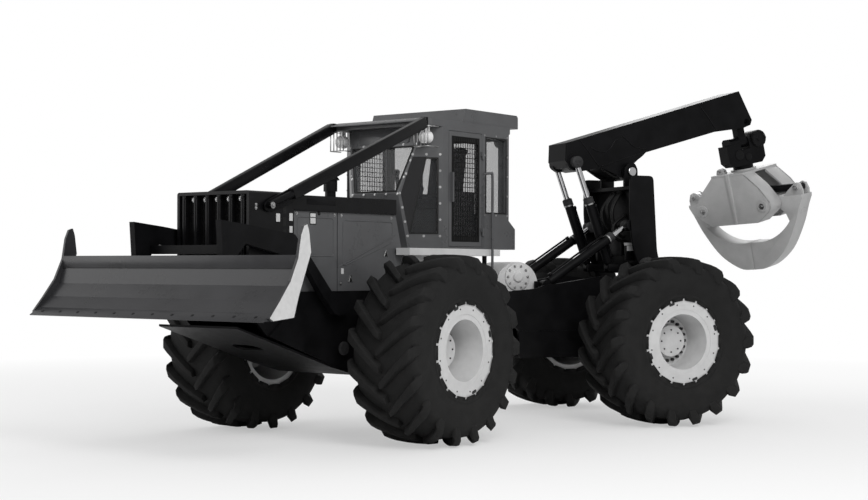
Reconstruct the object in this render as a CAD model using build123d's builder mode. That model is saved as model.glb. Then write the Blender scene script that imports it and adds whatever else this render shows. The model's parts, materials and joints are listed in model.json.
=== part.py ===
"""Grapple skidder with an articulated frame, front blade, swing arch, boom and log grapple.

Millimetres, +Z up.  The machine's front faces -Y and its left side faces +X.  Each half of the
machine is modelled straight, with the centre pivot's axis as its own origin, and is then set down
in the machine's frame: the rear half turned by the steering angle it stands at.
"""

import os
from math import atan2, cos, degrees, hypot, radians, sin

from build123d import *

os.makedirs("parts", exist_ok=True)

# ---------------------------------------------------------------- stance and running gear
pivot_x = -562.5
pivot_y = 318.0
steer_angle = -28.74
front_axle_y = -1936.0
rear_axle_y = 1936.0
half_track = 1225.0
wheel_radius = 900.0
axle_z = 900.0
ride_height = wheel_radius - axle_z
tyre_width = 776.0
rim_radius = 443.0
rim_outer_face = 340.0
dish_radius = 292.0
disc_thickness = 30.0
hub_radius = 165.0
spindle_radius = 90.0
hub_depth = 75.0

# ---------------------------------------------------------------- clearances
side_gap = 0.5
pin_gap = 0.5
moving_gap = 5.0
seat_gap = 0.3

# ---------------------------------------------------------------- frames
rail_outer = 470.0
rail_thickness = 40.0
rail_inner = rail_outer - rail_thickness
trunnion_radius = 60.0
trunnion_half = 320.0
rail_top = 1450.0
rail_bottom = 660.0
front_frame_end = -550.0
rear_frame_start = 420.0
pivot_ear_radius = 170.0
pivot_ear_thickness = 60.0
pivot_pin_radius = 55.0
upper_ear_z = 1180.0
lower_ear_z = 760.0
axle_tube_radius = 130.0
axle_hole_radius = 190.0

# ---------------------------------------------------------------- hood and cab
hood_half = 460.0
hood_front = -3680.0
hood_bottom = 1500.0
hood_top = 2360.0
housing_rear = -3090.0
cover_rear = -1586.0
cover_bottom = 2205.0
cab_half = 640.0
cab_wall = 45.0
cab_floor = 1870.0
cab_top = 3110.0
cab_rear = 120.0
roof_bottom = 3112.0
roof_thickness = 70.0

# ---------------------------------------------------------------- blade and its arms
blade_half = 1478.0
end_plate = 25.0
arm_inner = 520.0
arm_thickness = 65.0
arm_pivot = (-2530.0, 1324.0)
torque_tube_radius = 70.0
blade_crank = (-2530.0, 1024.0)
blade_cylinder_base = (-1450.0, 1250.0)
blade_cylinder_x = 370.0
blade_lug = 18.0

# ---------------------------------------------------------------- arch, boom and their cylinders
arch_cylinder_x = 395.0
arch_cylinder_base = (910.0, 1489.0)
arch_cylinder_eye = (1946.0, 2152.0)
arch_pivot = (2250.0, 1400.0)
boom_pivot = (2077.0, 2768.0)
boom_half = 200.0
boom_cylinder_x = 240.0
boom_cylinder_base = (1820.0, 1680.0)
boom_cylinder_eye = (1388.0, 2857.0)
eye_width = 70.0
rear_rail_inner = 450.5
rear_rail_outer = rear_rail_inner + 45
tow_eye_y = 3070.0
tow_eye_z = 860.0
tow_eye_half = 70.0
tow_eye_thickness = 40.0
tow_eye_radius = 25.5
arch_plate_inner = rear_rail_outer + moving_gap
arch_plate_outer = arch_plate_inner + 30
link_pin = (3700.0, 3400.0)

# ---------------------------------------------------------------- steering cylinders
steer_front_lug = (300.0, -900.0)
steer_rear_lug = (300.0, 330.0)
steer_lug = 25.0
steer_cylinder_z = 970.0
steer_window = 75.0

# ---------------------------------------------------------------- grapple
grapple_yaw = 20.3
grapple_tilt = 12.0
grapple_roll = 3.0
grapple_centre = (-66.0, 3926.0, 2454.0)
head_depth = 720.0
head_plate = 25.0
tong_half_width = 110.0
tong_pin_x = 420.0
tong_lobe = (735.0, 145.0)


def turned(point, angle):
    """A point (x, y) turned about the origin."""
    turn = radians(angle)
    return (point[0] * cos(turn) - point[1] * sin(turn), point[0] * sin(turn) + point[1] * cos(turn))


front_place = Location((pivot_x, pivot_y, ride_height))
rear_place = Location((pivot_x, pivot_y, ride_height), (0, 0, steer_angle))


def write(piece, name, place):
    """Sets a finished piece down in the machine's frame and writes it."""
    piece.part.label = name
    export_step(piece.part.moved(place), f"parts/{name}.step")


def slab(points, plane, depth, mode=Mode.ADD):
    """A closed polygon on a plane, made as deep as asked along the plane's normal."""
    with BuildSketch(plane) as outline:
        with BuildLine():
            Polyline(*points, close=True)
        make_face()
    extrude(outline.sketch, amount=depth, mode=mode)


def disc(plane, radius, depth, mode=Mode.ADD):
    """A round bar that starts on a plane and follows its normal."""
    with BuildSketch(plane) as outline:
        Circle(radius)
    extrude(outline.sketch, amount=depth, mode=mode)


def block(x_range, y_range, z_range, mode=Mode.ADD):
    """A box between its lowest and highest corners."""
    ranges = (x_range, y_range, z_range)
    centre = [(low + high) / 2 for low, high in ranges]
    with Locations(tuple(centre)):
        Box(*[high - low for low, high in ranges], mode=mode)


def side_plane(x, y=0.0, z=0.0):
    """A plane facing +X whose own axes are the machine's Y and Z."""
    return Plane(origin=(x, y, z), x_dir=(0, 1, 0), z_dir=(1, 0, 0))


def bar(start, end, radius, mode=Mode.ADD):
    """A round bar between two points."""
    along = Vector(*end) - Vector(*start)
    disc(Plane(origin=start, z_dir=along), radius, along.length, mode)


# ================================================================ wheels
wheels = [
    # name, side, axle y, place
    ("front_left", 1, front_axle_y, front_place),
    ("front_right", -1, front_axle_y, front_place),
    ("rear_left", 1, rear_axle_y, rear_place),
    ("rear_right", -1, rear_axle_y, rear_place),
]
bead_radius = 405.0
shoulder_radius = 850.0
tread_half = 370.0
barrel_half = 330.0
well_radius = 385.0
flange_thickness = 14.0
ring_thickness = 24.0

for wheel_name, side, axle_y, place in wheels:
    wheel_plane = Plane(origin=(side * half_track, axle_y, axle_z), x_dir=(0, 1, 0), z_dir=(side, 0, 0))
    axis_line = Axis((side * half_track, axle_y, axle_z), (1, 0, 0))

    def ring(profile):
        """A profile of (offset outwards along the axle, radius) turned about the axle."""
        with BuildSketch(Plane(origin=wheel_plane.origin, x_dir=(side, 0, 0), z_dir=(0, -side, 0))) as section:
            with BuildLine():
                Polyline(*profile, close=True)
            make_face()
        revolve(section.sketch, axis=axis_line)

    with BuildPart() as tyre:
        ring(
            [
                (-barrel_half + pin_gap, bead_radius),
                (-barrel_half + pin_gap, rim_radius + 5),
                (-tyre_width / 2 + 30, 500),
                (-tyre_width / 2, 620),
                (-tyre_width / 2 + 10, 760),
                (-tread_half, shoulder_radius),
                (-tread_half + 90, wheel_radius),
                (tread_half - 90, wheel_radius),
                (tread_half, shoulder_radius),
                (tyre_width / 2 - 10, 760),
                (tyre_width / 2, 620),
                (tyre_width / 2 - 30, 500),
                (barrel_half - pin_gap, rim_radius + 5),
                (barrel_half - pin_gap, bead_radius),
            ]
        )
    write(tyre, f"tyre_{wheel_name}", place)

    with BuildPart() as rim:
        ring(
            [
                (-barrel_half - flange_thickness, rim_radius),
                (-barrel_half - flange_thickness, well_radius),
                (rim_outer_face - ring_thickness, well_radius),
                (rim_outer_face - ring_thickness, dish_radius + 20),
                (-disc_thickness / 2, dish_radius - 8),
                (-disc_thickness / 2, spindle_radius + pin_gap),
                (hub_depth, spindle_radius + pin_gap),
                (hub_depth, 0),
                (hub_depth + 30, 0),
                (hub_depth + 30, hub_radius),
                (disc_thickness / 2, hub_radius + 12),
                (disc_thickness / 2, dish_radius - 30),
                (rim_outer_face, dish_radius),
                (rim_outer_face, rim_radius),
                (barrel_half, rim_radius),
                (barrel_half, bead_radius - pin_gap),
                (-barrel_half, bead_radius - pin_gap),
                (-barrel_half, rim_radius),
            ]
        )
    write(rim, f"rim_{wheel_name}", place)

axles = [
    # name, axle y, place
    ("front_axle", front_axle_y, front_place),
    ("rear_axle", rear_axle_y, rear_place),
]
spindle_end = half_track + hub_depth - pin_gap
hub_inner_end = half_track - disc_thickness / 2 - moving_gap
hub_housing_length = 135.0
hub_housing_start = half_track - hub_housing_length
hub_housing_radius = 205.0
differential_radius = 235.0
for axle_name, axle_y, place in axles:
    half_axle = [
        # distance from the middle, radius
        (0, differential_radius),
        (120, differential_radius - 10),
        (260, axle_tube_radius + 20),
        (330, axle_tube_radius),
        (hub_housing_start, axle_tube_radius),
        (hub_housing_start, hub_housing_radius),
        (hub_inner_end, hub_housing_radius),
        (hub_inner_end, spindle_radius),
        (spindle_end, spindle_radius),
    ]
    other_half = [(-x, radius) for x, radius in reversed(half_axle[1:])]
    with BuildPart() as axle:
        with BuildSketch(Plane(origin=(0, axle_y, axle_z), x_dir=(1, 0, 0), z_dir=(0, -1, 0))) as section:
            with BuildLine():
                Polyline((-spindle_end, 0), *other_half, *half_axle, (spindle_end, 0), close=True)
            make_face()
        revolve(axis=Axis((0, axle_y, axle_z), (1, 0, 0)))
        if axle_name == "front_axle":
            bar((0, axle_y - trunnion_half, axle_z), (0, axle_y + trunnion_half, axle_z), trunnion_radius)
    write(axle, axle_name, place)

# ================================================================ front frame
front_rail = [
    # y, z
    (-3660, rail_top),
    (-3660, 1250),
    (-3453, 1051),
    (-2620, 756),
    (-2250, rail_bottom),
    (front_frame_end, rail_bottom),
    (front_frame_end, 1330),
    (front_frame_end - 200, rail_top),
]
with BuildPart() as front_frame:
    slab(front_rail, side_plane(rail_outer - rail_thickness), rail_thickness)
    disc(side_plane(rail_outer - rail_thickness, front_axle_y, axle_z), axle_hole_radius, rail_thickness, Mode.SUBTRACT)
    slab([(-3453, 1051), (-3160, 1281), (-2564, 1116), (-2564, 770), (-2620, 756)], side_plane(rail_outer), 30)
    disc(side_plane(rail_outer - rail_thickness, *arm_pivot), torque_tube_radius + pin_gap, rail_thickness, Mode.SUBTRACT)
    mirror(about=Plane.YZ)
    inner = rail_inner
    for z_range in ((rail_bottom, 850), (1090, 1330)):
        block((-inner, inner), (front_frame_end - 50, front_frame_end), z_range)
    block((-inner, inner), (-3660, -3610), (1250, rail_top))
    block((-inner, inner), (-1500, -1450), (rail_bottom, 1150))
    for y in (front_axle_y - trunnion_half + 20, front_axle_y + trunnion_half - 50):
        block((-inner, inner), (y, y + 30), (rail_bottom, 1000))
        disc(Plane(origin=(0, y, axle_z), z_dir=(0, 1, 0)), trunnion_radius + seat_gap, 30, Mode.SUBTRACT)
    block((-inner, inner), (steer_front_lug[1] - 90, steer_front_lug[1] - 50), (850, 1090))
    for ear_z in (upper_ear_z, lower_ear_z):
        ear_plane = Plane.XY.offset(ear_z - pivot_ear_thickness / 2)
        disc(ear_plane, pivot_ear_radius, pivot_ear_thickness)
        block(
            (-pivot_ear_radius, pivot_ear_radius),
            (front_frame_end, 0),
            (ear_z - pivot_ear_thickness / 2, ear_z + pivot_ear_thickness / 2),
        )
        disc(ear_plane, pivot_pin_radius + pin_gap, pivot_ear_thickness, Mode.SUBTRACT)
    lug_x, lug_y = steer_front_lug
    eye_side = eye_width / 2 + side_gap
    for side in (-1, 1):
        for lug_side in (-1, 1):
            low = steer_cylinder_z + lug_side * eye_side
            block(
                (side * lug_x - 40, side * lug_x + 40),
                (lug_y - 55, lug_y + 40),
                sorted((low, low + lug_side * steer_lug)),
            )
    base_y, base_z = blade_cylinder_base
    boss_start = blade_cylinder_x + eye_side
    lug_end = blade_cylinder_x - eye_side
    for side in (-1, 1):
        disc(side_plane(min(side * boss_start, side * inner), base_y, base_z), 55, inner - boss_start)
        block(
            sorted((side * (lug_end - 25), side * lug_end)),
            (base_y - 40, base_y + 100),
            (base_z - 40, base_z + 40),
        )
    block((-inner, inner), (base_y + 70, base_y + 110), (base_z - 60, base_z + 80))
write(front_frame, "front_frame", front_place)

with BuildPart() as belly_pan:
    pan = [
        (-3865, 1150),
        (-2620, 756 - seat_gap),
        (-2250, rail_bottom - seat_gap),
        (front_frame_end, rail_bottom - seat_gap),
    ]
    under = [(y, z - 20) for y, z in reversed(pan)]
    slab([*pan, *under], side_plane(-500), 1000)
    with BuildSketch(Plane.XY.offset(900)):
        with Locations((0, -3210)):
            SlotOverall(330, 200)
    extrude(amount=300, mode=Mode.SUBTRACT)
write(belly_pan, "belly_pan", front_place)

with BuildPart() as engine:
    block((-300, 300), (-2950, -1750), (1410, 2150))
    for y in (-2900, -1850):
        block((-rail_inner + seat_gap, rail_inner - seat_gap), (y, y + 50), (1410, 1445))
write(engine, "engine_block", front_place)

with BuildPart() as pivot_pins:
    for ear_z in (upper_ear_z, lower_ear_z):
        disc(Plane.XY.offset(ear_z - 100), pivot_pin_radius, 200)
        for head_z in (ear_z - 120, ear_z + 100):
            disc(Plane.XY.offset(head_z), pivot_pin_radius + 35, 20)
write(pivot_pins, "centre_pivot_pins", front_place)

# ================================================================ hood
housing_wall = 30.0
with BuildPart() as housing:
    block((-hood_half, hood_half), (hood_front, housing_rear), (hood_bottom, hood_top))
    block(
        (-hood_half + housing_wall, hood_half - housing_wall),
        (hood_front, housing_rear),
        (hood_bottom, hood_top - housing_wall),
        Mode.SUBTRACT,
    )
    fillet(housing.edges().filter_by(Axis.Y).group_by(Axis.Z)[-1].sort_by(Axis.X)[-1], 25)
    fillet(housing.edges().filter_by(Axis.Y).group_by(Axis.Z)[-1].sort_by(Axis.X)[0], 25)
write(housing, "grille_housing", front_place)

grille_half = hood_half - housing_wall - seat_gap
with BuildPart() as grille:
    block((-grille_half, grille_half), (hood_front + 60, hood_front + 90), (hood_bottom, hood_top - housing_wall - 4))
    for rib in range(6):
        rib_x = -375 + 150 * rib
        block((rib_x - 20, rib_x + 20), (hood_front + 5, hood_front + 60), (hood_bottom, hood_top - housing_wall - 4))
write(grille, "grille", front_place)

panel_half = hood_half - 12
side_panel_thickness = 30.0
panel_foot = rail_top + seat_gap
panel_tables = [
    # name of the panel, its outline as (y, z)
    ("front", [(-3080, 2196), (-2475, 2196), (-2475, panel_foot), (-3000, panel_foot), (-3080, 1520)]),
    ("rear", [(-2462, 2196), (cover_rear, 2196), (-1470, 1795), (-1560, panel_foot), (-2462, panel_foot)]),
]
with BuildPart() as side_panels:
    for _, outline in panel_tables:
        slab(outline, side_plane(panel_half - side_panel_thickness), side_panel_thickness)
        slab(outline, side_plane(-panel_half), side_panel_thickness)
write(side_panels, "side_panels", front_place)

with BuildPart() as cover:
    cover_front = housing_rear + seat_gap
    cover_outline = [
        (cover_front, hood_top - 18),
        (cover_front, cover_bottom),
        (cover_rear, cover_bottom - 8),
        (cover_rear, hood_top - 12),
    ]
    slab(cover_outline, side_plane(-hood_half), 2 * hood_half)
    block((-hood_half + 40, hood_half - 40), (cover_front, cover_rear - 30), (cover_bottom - 20, hood_top - 60), Mode.SUBTRACT)
write(cover, "hood_cover", front_place)

stack_x, stack_y = -200.0, -1830.0
with BuildPart() as stack:
    stack_profile = [
        # height, radius
        (hood_top - 12, 55),
        (2440, 55),
        (2440, 70),
        (2550, 70),
        (2556, 95),
        (2590, 70),
    ]
    with BuildSketch(Plane(origin=(stack_x, stack_y, 0), x_dir=(1, 0, 0), z_dir=(0, -1, 0))):
        with BuildLine():
            Polyline((0, hood_top - 12), *[(radius, z) for z, radius in stack_profile], (0, 2590), close=True)
        make_face()
    revolve(axis=Axis((stack_x, stack_y, 0), (0, 0, 1)))
write(stack, "exhaust_stack", front_place)

# ================================================================ cab
nose_half = 300.0
nose_y = -1365.0
corner_y = -1060.0
nose_z = 2430.0
cab_plan = [
    (-nose_half, nose_y),
    (nose_half, nose_y),
    (cab_half, corner_y),
    (cab_half, cab_rear),
    (-cab_half, cab_rear),
    (-cab_half, corner_y),
]
screen_lean = 137 / 510
foot_lean = 72 / 600
door_y = (-955.0, -380.0)
door_z = (1895.0, 3075.0)
window_border = 60.0
door_hinge = (cab_half + 16.0, door_y[1] + 3.0)
hinge_pin_radius = 6.0
hinge_radius = 14.0
hinge_heights = (2050.0, 2850.0)
hinge_half_height = 40.0


def cabin(plan, front_y, bottom, top):
    """A cabin's plan made tall, with its front leaning back above and below the nose."""
    slab(plan, Plane.XY.offset(bottom), top - bottom)
    for height, lean in ((top, screen_lean), (bottom, foot_lean)):
        back = front_y + abs(height - nose_z) * lean
        wedge = [(front_y - 100, nose_z), (front_y, nose_z), (back, height), (front_y - 100, height)]
        slab(wedge, side_plane(-cab_half), 2 * cab_half, Mode.SUBTRACT)


edge = Vector(cab_half - nose_half, corner_y - nose_y, 0).normalized()
corner_plane = Plane(origin=(nose_half, nose_y, 0), x_dir=edge, z_dir=(edge.Y, -edge.X, 0))
quarter_window = [(130, 2030), (400, 2030), (400, 2780), (290, 2780)]
screen_window = [(-270, 2455), (270, 2455), (395, 2900), (-395, 2900)]
screen_pane = [(-270.6, 2459), (270.6, 2459), (393.4, 2896), (-393.4, 2896)]
side_window = [(-300, 2260), (cab_rear - 60, 2260), (cab_rear - 60, 3040), (-300, 3040)]
back_window = [(-530, 2260), (530, 2260), (530, 3040), (-530, 3040)]


with BuildPart() as cab_air:
    inner_plan = [
        (-nose_half + 20, nose_y + cab_wall),
        (nose_half - 20, nose_y + cab_wall),
        (cab_half - cab_wall, corner_y + 20),
        (cab_half - cab_wall, cab_rear - cab_wall),
        (-cab_half + cab_wall, cab_rear - cab_wall),
        (-cab_half + cab_wall, corner_y + 20),
    ]
    cabin(inner_plan, nose_y + cab_wall, cab_floor + 40, cab_top - 40)

with BuildPart() as side_openings:
    slab(quarter_window, corner_plane.offset(-90), 140)
    slab(side_window, side_plane(cab_half - 90), 140)
    block((cab_half - 90, cab_half + 50), (door_y[0] - moving_gap, door_y[1] + moving_gap), (door_z[0] - moving_gap, door_z[1] + moving_gap))
    mirror(about=Plane.YZ)

with BuildPart() as cab:
    cabin(cab_plan, nose_y, cab_floor, cab_top)
    bulge = [(cab_rear - 1, cab_floor), (cab_rear + 120, cab_floor), (cab_rear + 120, 2090), (cab_rear - 1, 2180)]
    slab(bulge, side_plane(-cab_half), 2 * cab_half)
    add(cab_air.part, mode=Mode.SUBTRACT)
    add(side_openings.part, mode=Mode.SUBTRACT)
    slab(screen_window, Plane.XZ.offset(1150), 300, Mode.SUBTRACT)
    slab(back_window, Plane.XZ.offset(-cab_rear - 10), 100, Mode.SUBTRACT)
    for side in (-1, 1):
        for height in hinge_heights:
            low = height - hinge_half_height
            hinge_x, hinge_y = side * door_hinge[0], door_hinge[1]
            disc(Plane(origin=(hinge_x, hinge_y, low)), hinge_radius, hinge_half_height - 1)
            block(sorted((side * (cab_half - 10), hinge_x)), (hinge_y + 4, hinge_y + 24), (low, height - 1))
            disc(Plane(origin=(hinge_x, hinge_y, low)), hinge_pin_radius + pin_gap, hinge_half_height - 1, Mode.SUBTRACT)
write(cab, "cab_shell", front_place)

pane = 6.0
with BuildPart() as glass:
    slab(quarter_window, corner_plane.offset(-30), pane)
    slab(side_window, side_plane(cab_half - 30), pane)
    mirror(about=Plane.YZ)
    screen_plane = Plane(origin=(0, nose_y + 20, nose_z), x_dir=(1, 0, 0), z_dir=(0, -1, screen_lean))
    stretch = hypot(1, screen_lean)
    slab([(x, (z - nose_z) * stretch) for x, z in screen_pane], screen_plane, pane)
    slab(back_window, Plane.XZ.offset(-cab_rear + 20), pane)
write(glass, "cab_glass", front_place)

with BuildPart() as roof:
    slab([(-600, -1300), (600, -1300), (cab_half, -1250), (cab_half, 140), (-cab_half, 140), (-cab_half, -1250)],
         Plane.XY.offset(cab_top), roof_thickness)
    slab([(-690, 3180), (-640, 3325), (300, 3325), (320, 3300), (320, 3180)], side_plane(-620), 1240)
write(roof, "cab_roof", front_place)

for side_name, side in (("left", 1), ("right", -1)):
    inner_x, outer_x = side * (cab_half - cab_wall), side * cab_half
    with BuildPart() as door:
        block(sorted((inner_x, outer_x)), door_y, door_z)
        block(
            sorted((inner_x - side, outer_x + side)),
            (door_y[0] + window_border, door_y[1] - window_border),
            (door_z[0] + window_border, door_z[1] - window_border),
            Mode.SUBTRACT,
        )
        for height in hinge_heights:
            hinge_x, hinge_y = side * door_hinge[0], door_hinge[1]
            disc(Plane(origin=(hinge_x, hinge_y, height)), hinge_radius, hinge_half_height)
            block(sorted((side * (cab_half - 10), hinge_x)), (hinge_y - 24, hinge_y - 4), (height, height + hinge_half_height))
            disc(Plane(origin=(hinge_x, hinge_y, height - hinge_half_height + 3)), hinge_pin_radius, hinge_half_height)
        block(sorted((outer_x, side * (cab_half + 35))), (door_y[0] + 25, door_y[0] + 45), (2350, 2650))
    write(door, f"cab_door_{side_name}", front_place)

    with BuildPart() as door_pane:
        block(
            sorted((side * (cab_half - 30), side * (cab_half - 30 + pane))),
            (door_y[0] + window_border, door_y[1] - window_border),
            (door_z[0] + window_border, door_z[1] - window_border),
        )
    write(door_pane, f"door_glass_{side_name}", front_place)

floor_top = cab_floor + 40
seat_y = (-620.0, -140.0)
with BuildPart() as seat:
    block((-240, 240), seat_y, (2300, 2410))
    slab([(-230, 2410.3), (-120, 2410.3), (-60, 2960), (-150, 2980)], side_plane(-230), 460)
    block((-230, 230), (-230, -120), (2409, 2412))
write(seat, "seat", front_place)

with BuildPart() as console:
    block((-200, 200), (-560, -180), (floor_top, 2299.7))
    for side in (-1, 1):
        block(sorted((side * 260, side * 360)), (-640, -120), (floor_top, 2480))
        bar((side * 310, -600, 2470), (side * 310, -615, 2640), 20)
        block(sorted((side * 190, side * 270)), (-560, -180), (floor_top, 2150))
    block((-250, 250), (-1250, -1180), (floor_top, 2250))
write(console, "console", front_place)

riser_radius = 32.5
riser_route = [(500, -3459, 2231), (520, -3160, 2350), (cab_half - 20, -1335, 3133)]
with BuildPart() as risers:
    for side in (-1, 1):
        route = [(side * x, y, z) for x, y, z in riser_route]
        for start, end in zip(route[:-1], route[1:]):
            bar(start, end, riser_radius)
        with Locations(route[1]):
            Sphere(riser_radius)
        bar((side * hood_half, -3459, 2231), (side * 540, -3459, 2231), 28)
        block(sorted((side * (cab_half - 60), side * (cab_half - 5))), (-1350, -1300.3), (3105, 3185))
write(risers, "risers", front_place)

lamp_places = [
    # x, y of the back, z, which way it faces
    (558, -1198, 2994, -1),
    (500, 130, 3035, 1),
]
with BuildPart() as lamps:
    for x, y, z, facing in lamp_places:
        for side in (-1, 1):
            disc(Plane(origin=(side * x, y, z), z_dir=(0, facing, 0)), 65, 75)
            block((side * x - 20, side * x + 20), sorted((y, y + facing * 30)), (z, cab_top))
write(lamps, "work_lamps", front_place)

platform_z = (1800.0, cab_floor)
with BuildPart() as platform:
    block((-cab_half, cab_half), (-1450, -40), platform_z)
    for side in (-1, 1):
        block(sorted((side * (hood_half + 10), side * cab_half)), (-1600, -1449), platform_z)
    block((-420, 420), (-1400, -560), (rail_top, platform_z[0]))
write(platform, "cab_platform", front_place)

with BuildPart() as tanks:
    for side in (-1, 1):
        block(sorted((side * rail_outer, side * cab_half)), (-1000, -220), (1300, 1650))
        block(sorted((side * cab_half, side * (cab_half + 90))), (-850, -450), (1300, 1325))
        block(sorted((side * 590, side * 625)), (-300, -265), (1649, platform_z[0]))
write(tanks, "side_tanks", front_place)


# ================================================================ cylinders
def along(plane, distance):
    """The plane square to a cylinder's run, at a distance from its base pin."""
    return Plane(origin=plane.from_local_coords((distance, 0, 0)), z_dir=plane.x_dir)


def barrel_on(plane, radius, rod, eye, length, bore_start):
    """A barrel: the plane starts at the base pin, x towards the rod's eye, z along the pin."""
    disc(plane.offset(-eye_width / 2), eye, eye_width)
    disc(along(plane, eye * 0.6), eye_width / 2 - 1, eye * 0.4 + 12)
    disc(along(plane, eye + 10), radius, length - eye - 10)
    disc(along(plane, length - 60), radius + 5, 60)
    disc(along(plane, bore_start), rod + pin_gap, length, Mode.SUBTRACT)


def rod_on(plane, rod, eye, start, length):
    """The rod of the same cylinder, from its inner end to its eye."""
    disc(along(plane, start), rod, length - start - eye * 0.6)
    eye_plane = Plane(
        origin=plane.from_local_coords((length, 0, -eye_width / 2)), x_dir=plane.x_dir, z_dir=plane.z_dir
    )
    disc(eye_plane, eye, eye_width)


cylinders = [
    # name, place, base pin, eye pin, pairs at this x, barrel, rod, eye radius, barrel length, rod start, bore start
    ("blade", front_place, blade_cylinder_base, blade_crank, blade_cylinder_x, 50, 30, 45, 720, 350, 110),
    ("arch", rear_place, arch_cylinder_base, arch_cylinder_eye, arch_cylinder_x, 50, 32, 55, 1010, 150, 70),
    ("boom", rear_place, boom_cylinder_base, boom_cylinder_eye, boom_cylinder_x, 50, 32, 50, 830, 220, 90),
]
for name, place, base, eye, x, barrel_radius, rod_radius, eye_radius, barrel_length, rod_start, bore_start in cylinders:
    run = hypot(eye[0] - base[0], eye[1] - base[1])
    planes = [
        Plane(origin=(side * x, *base), x_dir=(0, eye[0] - base[0], eye[1] - base[1]), z_dir=(1, 0, 0))
        for side in (-1, 1)
    ]
    with BuildPart() as barrels:
        for plane in planes:
            barrel_on(plane, barrel_radius, rod_radius, eye_radius, barrel_length, bore_start)
    write(barrels, f"{name}_barrels", place)
    with BuildPart() as rods:
        for plane in planes:
            rod_on(plane, rod_radius, eye_radius, rod_start, run)
    write(rods, f"{name}_rods", place)

steer_cylinders = [
    # name, side
    ("left", 1),
    ("right", -1),
]
steer_barrel_length = 800.0
for name, side in steer_cylinders:
    base = (side * steer_front_lug[0], steer_front_lug[1])
    eye = turned((side * steer_rear_lug[0], steer_rear_lug[1]), steer_angle)
    run = hypot(eye[0] - base[0], eye[1] - base[1])
    plane = Plane(
        origin=(*base, steer_cylinder_z), x_dir=(eye[0] - base[0], eye[1] - base[1], 0), z_dir=(0, 0, 1)
    )
    with BuildPart() as barrel:
        barrel_on(plane, 45, 28, 45, steer_barrel_length, 100)
    write(barrel, f"steering_barrel_{name}", front_place)
    with BuildPart() as rod:
        rod_on(plane, 28, 45, run - 820, run)
    write(rod, f"steering_rod_{name}", front_place)

# ================================================================ blade
blade_front = [(-4170, 1775), (-4176, 1660), (-4225, 1520), (-4330, 1400), (-4455, 1300), (-4560, 1235)]
blade_back = [(-4470, 1235), (-4415, 1290), (-4290, 1390), (-4182, 1505), (-4132, 1655), (-4128, 1775)]
end_outline = [
    (-4060, 2035),
    (-4105, 2020),
    (-4142, 1938),
    (-4177, 1748),
    (-4268, 1560),
    (-4404, 1390),
    (-4516, 1261),
    (-4470, 1234),
    (-4221, 1258),
    (-4163, 1434),
    (-4012, 1798),
    (-4037, 1972),
]
arm_outer = arm_inner + arm_thickness
with BuildPart() as blade:
    slab([*blade_front, *blade_back], side_plane(-blade_half), 2 * blade_half)
    for x in (-blade_half - end_plate, blade_half):
        slab(end_outline, side_plane(x), end_plate)
    bays = [(-blade_half, -arm_outer - side_gap), (-arm_inner + side_gap, arm_inner - side_gap), (arm_outer + side_gap, blade_half)]
    for bay in bays:
        block(bay, (-4140, -4060), (1700, 1760))
        block(bay, (-4240, -4150), (1400, 1450))
write(blade, "blade", front_place)

arm_outline = [
    (-4150, 2082),
    (-3788, 2045),
    (-3209, 1972),
    (-3017, 1790),
    (-2704, 1453),
    (-2460, 1400),
    (-2420, 1324),
    (-2460, 1245),
    (-2600, 1220),
    (-2670, 1250),
    (-2869, 1454),
    (-3057, 1682),
    (-3426, 1797),
    (-3846, 1880),
    (-3945, 1780),
    (-4060, 1500),
    (-4160, 1380),
    (-4252, 1430),
    (-4181.5, 1505),
    (-4131.5, 1655),
    (-4127.5, 1775),
]
with BuildPart() as arms:
    for x in (-arm_outer, arm_inner):
        slab(arm_outline, side_plane(x), arm_thickness)
    bar((-arm_outer, *arm_pivot), (arm_outer, *arm_pivot), torque_tube_radius)
    block((-arm_inner - 1, arm_inner + 1), (-3960, -3880), (1790, 1870))
    for side in (-1, 1):
        for x in (blade_cylinder_x - eye_side - blade_lug, blade_cylinder_x + eye_side):
            low_x = min(side * x, side * (x + blade_lug))
            slab(
                [
                    (arm_pivot[0] - 90, arm_pivot[1]),
                    (blade_crank[0] - 45, blade_crank[1]),
                    (blade_crank[0] - 30, blade_crank[1] - 40),
                    (blade_crank[0] + 30, blade_crank[1] - 40),
                    (blade_crank[0] + 45, blade_crank[1]),
                    (arm_pivot[0] + 90, arm_pivot[1]),
                ],
                side_plane(low_x),
                blade_lug,
            )
write(arms, "lift_arms", front_place)

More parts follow.
